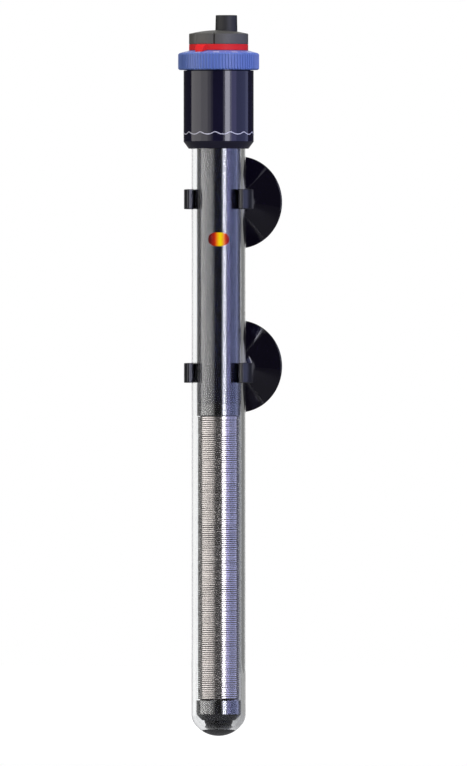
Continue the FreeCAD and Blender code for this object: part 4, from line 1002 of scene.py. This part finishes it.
def make_clip(which):
    """A spring ring with rounded lips and a boss at its back for the cup's stem."""
    node = f"{which}_clip"
    cup_low, cup_high = reach(f"{which}_suction_cup")
    seat = (cup_low.z + cup_high.z) / 2
    outer = radius_of(node)
    middle = outer - CLIP_WALL / 2
    place = Matrix.Translation((AXIS.x, AXIS.y, seat + CLIP_RISES[which]))
    arc = 360 - OPEN_RIGHT - OPEN_LEFT
    walk = []
    for t in (90, 75, 60, 45, 30, 15):
        walk.append((math.degrees(-CLIP_LIP * math.sin(math.radians(t)) / middle), math.cos(math.radians(t))))
    walk += [(arc * i / CLIP_STEPS, 1.0) for i in range(CLIP_STEPS + 1)]
    walk += [(arc - turn, share) for turn, share in reversed(walk[:6])]
    sections = []
    for turn, share in walk:
        angle = math.radians(-90 + OPEN_RIGHT + turn)
        half = max(CLIP_WALL / 2 * share, 0.02)
        ease = min(CLIP_EDGE, half * 0.9)
        section = []
        for side_x, side_z, start in ((1, -1, -90), (1, 1, 0), (-1, 1, 90), (-1, -1, 180)):
            for n in range(4):
                a = math.radians(start + 30 * n)
                r = middle + side_x * (half - ease) + ease * math.cos(a)
                z = side_z * (CLIP_HEIGHT / 2 - ease) + ease * math.sin(a)
                section.append((r, z))
        # a point near both ends of each straight side keeps the sides flat
        walked = []
        for k, corner in enumerate(section):
            walked.append(corner)
            if k % 4 == 3:
                a, b = Vector(corner), Vector(section[(k + 1) % 16])
                inset = (b - a) * min(HOLD / max((b - a).length, 1e-6), 0.3)
                walked += [tuple(a + inset), tuple(b - inset)]
        sections.append(swung(walked, angle))
    clip = lofted(f"{which}_spring_clip", sections, place, sharp=CLIP_SHARP)
    back = Matrix.Translation((AXIS.x, AXIS.y, seat)) @ Matrix.Rotation(math.radians(-90), 4, "X")
    inner = outer - CLIP_WALL
    root, face = inner + 0.6, outer + BOSS_STAND
    boss = turned("boss", [(0, root), (BOSS_RADIUS, root), (BOSS_RADIUS, face, 0.25), (0, face)], back, 96)
    worked(clip, boss, "UNION")
    worked(clip, rod(STEM_HOLE, inner - 2, outer + 3, back))
    worked(clip, rod(KNOB_HOLE, inner - 2, outer - 0.6, back))
    finished(clip, clip_nylon, node, "clip_plastic", node)


CUP_LIP = 1.1
CUP_FACE = 9.2
CUP_HUB = 7.2
CUP_HOLLOW = 3.8
CUP_FLARE = 60.0
CUP_FILLET = 2.6
CUP_RIM = 0.2
CUP_LIP_WIDTH = 1.9
CUP_LIP_EASE = 0.35
CUP_STEM = 2.45
CUP_KNOB = 3.4
CUP_KNOB_HEIGHT = 1.9


def make_cup(which):
    """A thin lip, a hollow face, a hub, and a stem whose knob sits in the clip."""
    node = f"{which}_suction_cup"
    low, high = reach(node)
    radius = radius_of(node)
    height = high.y - low.y
    lip = radius - CUP_LIP_WIDTH
    place = Matrix.Translation((0, 0, (low.z + high.z) / 2)) @ Matrix.Rotation(math.radians(90), 4, "X")
    fillet_foot = (CUP_HUB + 1.4, CUP_FACE - 3.2)
    fillet_head = (CUP_HUB, CUP_FACE - 0.9)
    hollow = (lip * lip + CUP_HOLLOW * CUP_HOLLOW) / (2 * CUP_HOLLOW)
    outline = [(0, CUP_HOLLOW)] + bow((0, CUP_HOLLOW), (lip, 0), -hollow, 16)
    outline += [(radius - CUP_RIM, 0), (radius, CUP_RIM), (radius, CUP_LIP - CUP_LIP_EASE)]
    outline += bow(outline[-1], (radius - CUP_LIP_EASE, CUP_LIP), CUP_LIP_EASE, 4)
    outline += bow((radius - CUP_LIP_EASE, CUP_LIP), fillet_foot, -CUP_FLARE, 24)
    outline += bow(fillet_foot, fillet_head, -CUP_FILLET, 12)
    knob = height - CUP_KNOB_HEIGHT
    outline += [(CUP_HUB, CUP_FACE, 0.5), (CUP_STEM, CUP_FACE, 0.1), (CUP_STEM, knob, 0.05),
                (CUP_KNOB, knob, 0.15), (CUP_KNOB, height - 0.7, 0.2), (2.7, height, 0.2), (0, height)]
    finished(turned(f"{which}_cup_rubber", outline, place, 192), cup_vinyl, f"{which}_cup", "cup_rubber", node)


for which in CLIP_RISES:
    make_clip(which)
    make_cup(which)


# The pieces inside that stay as they are get their finishes
FINISHES = (
    (steel, ("strip_bracket", "lever_pivot_pin", "adjuster_spindle", "spindle_retainer", "contact_lever",
             "bimetal_strip")),
    (brass, ("rivets", "feedthrough_pins", "lead_wires", "fixed_contact", "moving_contact")),
    (resin, ("lamp_resistor", "suppression_capacitor")), (bumper_rubber, ("spindle_seal", "seal_plug")),
    (white, ("drive_pinion", "adjuster_plunger")), (lens_red, ("neon_lamp",)), (board, ("thermostat_carrier",)),
    (ferrite, ("snap_magnet",)),
)


SOFT_ANGLE = 32.0


def soft_shading():
    """Modifier that joins a mesh's points and shades it smooth up to its real edges."""
    group = bpy.data.node_groups.new("soft_shading", "GeometryNodeTree")
    group.interface.new_socket("Geometry", in_out="INPUT", socket_type="NodeSocketGeometry")
    group.interface.new_socket("Geometry", in_out="OUTPUT", socket_type="NodeSocketGeometry")
    start = add_node(group, "NodeGroupInput")
    joined = add_node(group, "GeometryNodeMergeByDistance", {"Geometry": start.outputs[0], "Distance": 1e-6})
    turn = add_node(group, "GeometryNodeInputMeshEdgeAngle")
    gentle = maths(group, "LESS_THAN", turn.outputs[0], math.radians(SOFT_ANGLE))
    faces = add_node(group, "GeometryNodeSetShadeSmooth", {"Geometry": joined.outputs[0], "Shade Smooth": True})
    edges = add_node(group, "GeometryNodeSetShadeSmooth", {"Geometry": faces.outputs[0]}, domain="EDGE")
    group.links.new(gentle, edges.inputs["Shade Smooth"])
    add_node(group, "NodeGroupOutput", {0: edges.outputs[0]})
    return group


shading = soft_shading()
for finish, names in FINISHES:
    for name in names:
        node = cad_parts[name]
        node.data.materials.clear()
        node.data.materials.append(finish)
        node.modifiers.new("soft_shading", "NODES").node_group = shading


# Studio
def azimuth_direction(degrees):
    """Level direction from the object; 0 is towards the camera and positive to its right."""
    turn = math.radians(FRONT_TURN + degrees)
    return Vector((math.sin(turn), -math.cos(turn), 0))


# the panels' height, middle and distance from the heater, in metres
STUDIO_MIDDLE = Vector((AXIS.x, AXIS.y, 0)) * MM
PANEL_HEIGHT = 1.8
PANEL_RISE = -0.08
PANEL_DISTANCE = 1.2


def add_panel(name, left, right, radiance, hex_code):
    """An upright lamp that spans azimuths left to right as the heater sees it."""
    width = 2 * PANEL_DISTANCE * math.tan(math.radians(right - left) / 2)
    data = bpy.data.lights.new(name, "AREA")
    data.shape = "RECTANGLE"
    data.size = width
    data.size_y = PANEL_HEIGHT
    data.color = colour(hex_code)[:3]
    data.energy = radiance * width * PANEL_HEIGHT * math.pi
    lamp = new_object(name, data)
    direction = azimuth_direction((left + right) / 2)
    lamp.location = STUDIO_MIDDLE + direction * PANEL_DISTANCE + Vector((0, 0, PANEL_RISE))
    lamp.rotation_euler = direction.to_track_quat("Z", "Y").to_euler()
    lamp.visible_camera = False


# left edge, right edge, radiance and colour of each upright panel; neighbours make one lamp with a soft edge
PANELS = {
    "left_softbox": (-100, -60, 2.2, "#FFFCFA"), "left_softbox_fade_1": (-60, -36, 1.75, "#FFFCFA"),
    "left_softbox_fade_2": (-36, -26, 1.0, "#FFFCFA"), "left_softbox_fade_3": (-26, -19, 0.4, "#FFFCFA"),
    "right_strip_edge": (15, 21, 1.2, "#F0F0FF"), "right_strip": (21, 37, 8.0, "#F0F0FF"),
    "right_strip_fade": (37, 43, 2.8, "#DCDCFF"), "right_panel": (43, 60, 2.2, "#BCBCFF"),
    "right_panel_fade": (60, 98, 1.2, "#B4BEFF"), "right_panel_end": (98, 112, 1.6, "#C0C8FF"),
}
# the softbox overhead, a little in front of the heater, in metres
TOP_SIZE = 1.0
TOP_RISE = 1.3
TOP_FORWARD = 0.1
TOP_RADIANCE = 6.0


def make_lamps():
    """Upright panels for the strips on the sides, and a softbox for what faces up."""
    for name, panel in PANELS.items():
        add_panel(name, *panel)
    data = bpy.data.lights.new("top_softbox", "AREA")
    data.size = TOP_SIZE
    data.energy = TOP_RADIANCE * math.pi
    lamp = new_object("top_softbox", data)
    lamp.location = STUDIO_MIDDLE + azimuth_direction(0) * TOP_FORWARD + Vector((0, 0, TOP_RISE))
    lamp.visible_camera = lamp.visible_glossy = False


def background_seen(tree, path):
    """1 for the eye and for a ray that only crossed glass or ran inside the tube's wall, else 0."""
    bounces = maths(tree, "ADD", path.outputs["Glossy Depth"], path.outputs["Diffuse Depth"])
    inner = maths(tree, "SUBTRACT", path.outputs["Transmission Depth"], 2.0)
    clear = maths(tree, "LESS_THAN", maths(tree, "MINIMUM", bounces, inner), 0.5)
    through = maths(tree, "MULTIPLY", clear, path.outputs["Is Transmission Ray"])
    return maths(tree, "MAXIMUM", through, path.outputs["Is Camera Ray"])


# where what shows through the glass turns grey to the right
WALL_FADE = (0.05, 0.3)
WALL_GREY = 0.22
# the pale board behind the heater that reflections show: its rise, its soft edge and the dark round it
BOARD_RISE = 15.0
BOARD_EDGE = (0.9, 0.94)
BOARD_AROUND = 0.05


def make_world():
    """White for the eye; through glass white at the left and grey at the right; dim in reflections."""
    world = bpy.data.worlds.new("studio")
    bpy.context.scene.world = world
    world.use_nodes = True
    tree = world.node_tree
    tree.nodes.clear()
    seen = background_seen(tree, add_node(tree, "ShaderNodeLightPath"))
    where = add_node(tree, "ShaderNodeTexCoord")
    rightward = dotted(tree, where.outputs["Generated"], azimuth_direction(90))
    fading = ranged(tree, rightward, *WALL_FADE, 1.0, WALL_GREY)
    rise = math.radians(BOARD_RISE)
    board_at = -azimuth_direction(0) * math.cos(rise) + Vector((0, 0, math.sin(rise)))
    behind = dotted(tree, where.outputs["Generated"], board_at)
    board_shade = ranged(tree, behind, *BOARD_EDGE, BOARD_AROUND, 1.0)
    dim = add_node(tree, "ShaderNodeBackground", {"Color": colour("#FFFFFF"), "Strength": board_shade})
    wall = add_node(tree, "ShaderNodeBackground", {"Color": colour("#FFFFFF"), "Strength": fading})
    both = add_node(tree, "ShaderNodeMixShader", {0: seen, 1: dim.outputs[0], 2: wall.outputs[0]})
    add_node(tree, "ShaderNodeOutputWorld", {"Surface": both.outputs[0]})


FLOOR_DROP = 30.0
FLOOR_HALF = 4000.0
FLOOR_MIRRORED = 0.08
# metres over which the floor's glow rises and what shows through the glass turns grey
GLOW_RISE = (0.4, 1.4)
GLOW_LEAST = 0.72
FLOOR_FADE = (0.0, 0.03)
FLOOR_GREY = 0.35


def make_floor():
    """A white floor that glows away from the heater, so that only the heater's shadow shows on it."""
    low = TUBE_FOOT - FLOOR_DROP
    corners = [(x * FLOOR_HALF, y * FLOOR_HALF, low) for x, y in ((-1, -1), (1, -1), (1, 1), (-1, 1))]
    floor = new_piece("floor", corners, [(0, 1, 2, 3)], Matrix.Identity(4))
    material, tree, shader = new_material("pale_floor")
    shader.inputs["Base Color"].default_value = colour("#646464")
    shader.inputs["Roughness"].default_value = 0.8
    path = add_node(tree, "ShaderNodeLightPath")
    where = add_node(tree, "ShaderNodeTexCoord")
    off = add_node(tree, "ShaderNodeVectorMath", {0: where.outputs["Object"]}, operation="LENGTH")
    glow = ranged(tree, off.outputs["Value"], *GLOW_RISE, GLOW_LEAST, 1.0)
    # as on the wall, what shows through the glass turns grey towards the right
    across = dotted(tree, where.outputs["Object"], azimuth_direction(90))
    fading = ranged(tree, across, *FLOOR_FADE, 1.0, FLOOR_GREY)
    unfaded = maths(tree, "MAXIMUM", path.outputs["Is Camera Ray"], fading)
    through = maths(tree, "MULTIPLY", background_seen(tree, path), unfaded)
    mirrored = maths(tree, "MULTIPLY", path.outputs["Is Glossy Ray"], FLOOR_MIRRORED)
    lift = maths(tree, "MULTIPLY", maths(tree, "MAXIMUM", through, mirrored), glow)
    shader.inputs["Emission Color"].default_value = (1, 1, 1, 1)
    tree.links.new(lift, shader.inputs["Emission Strength"])
    # the glow is only for the eye and lights nothing
    material.cycles.emission_sampling = "NONE"
    floor.data.materials.append(material)


make_lamps()
make_world()
make_floor()
bpy.context.scene.view_settings.view_transform = "Standard"
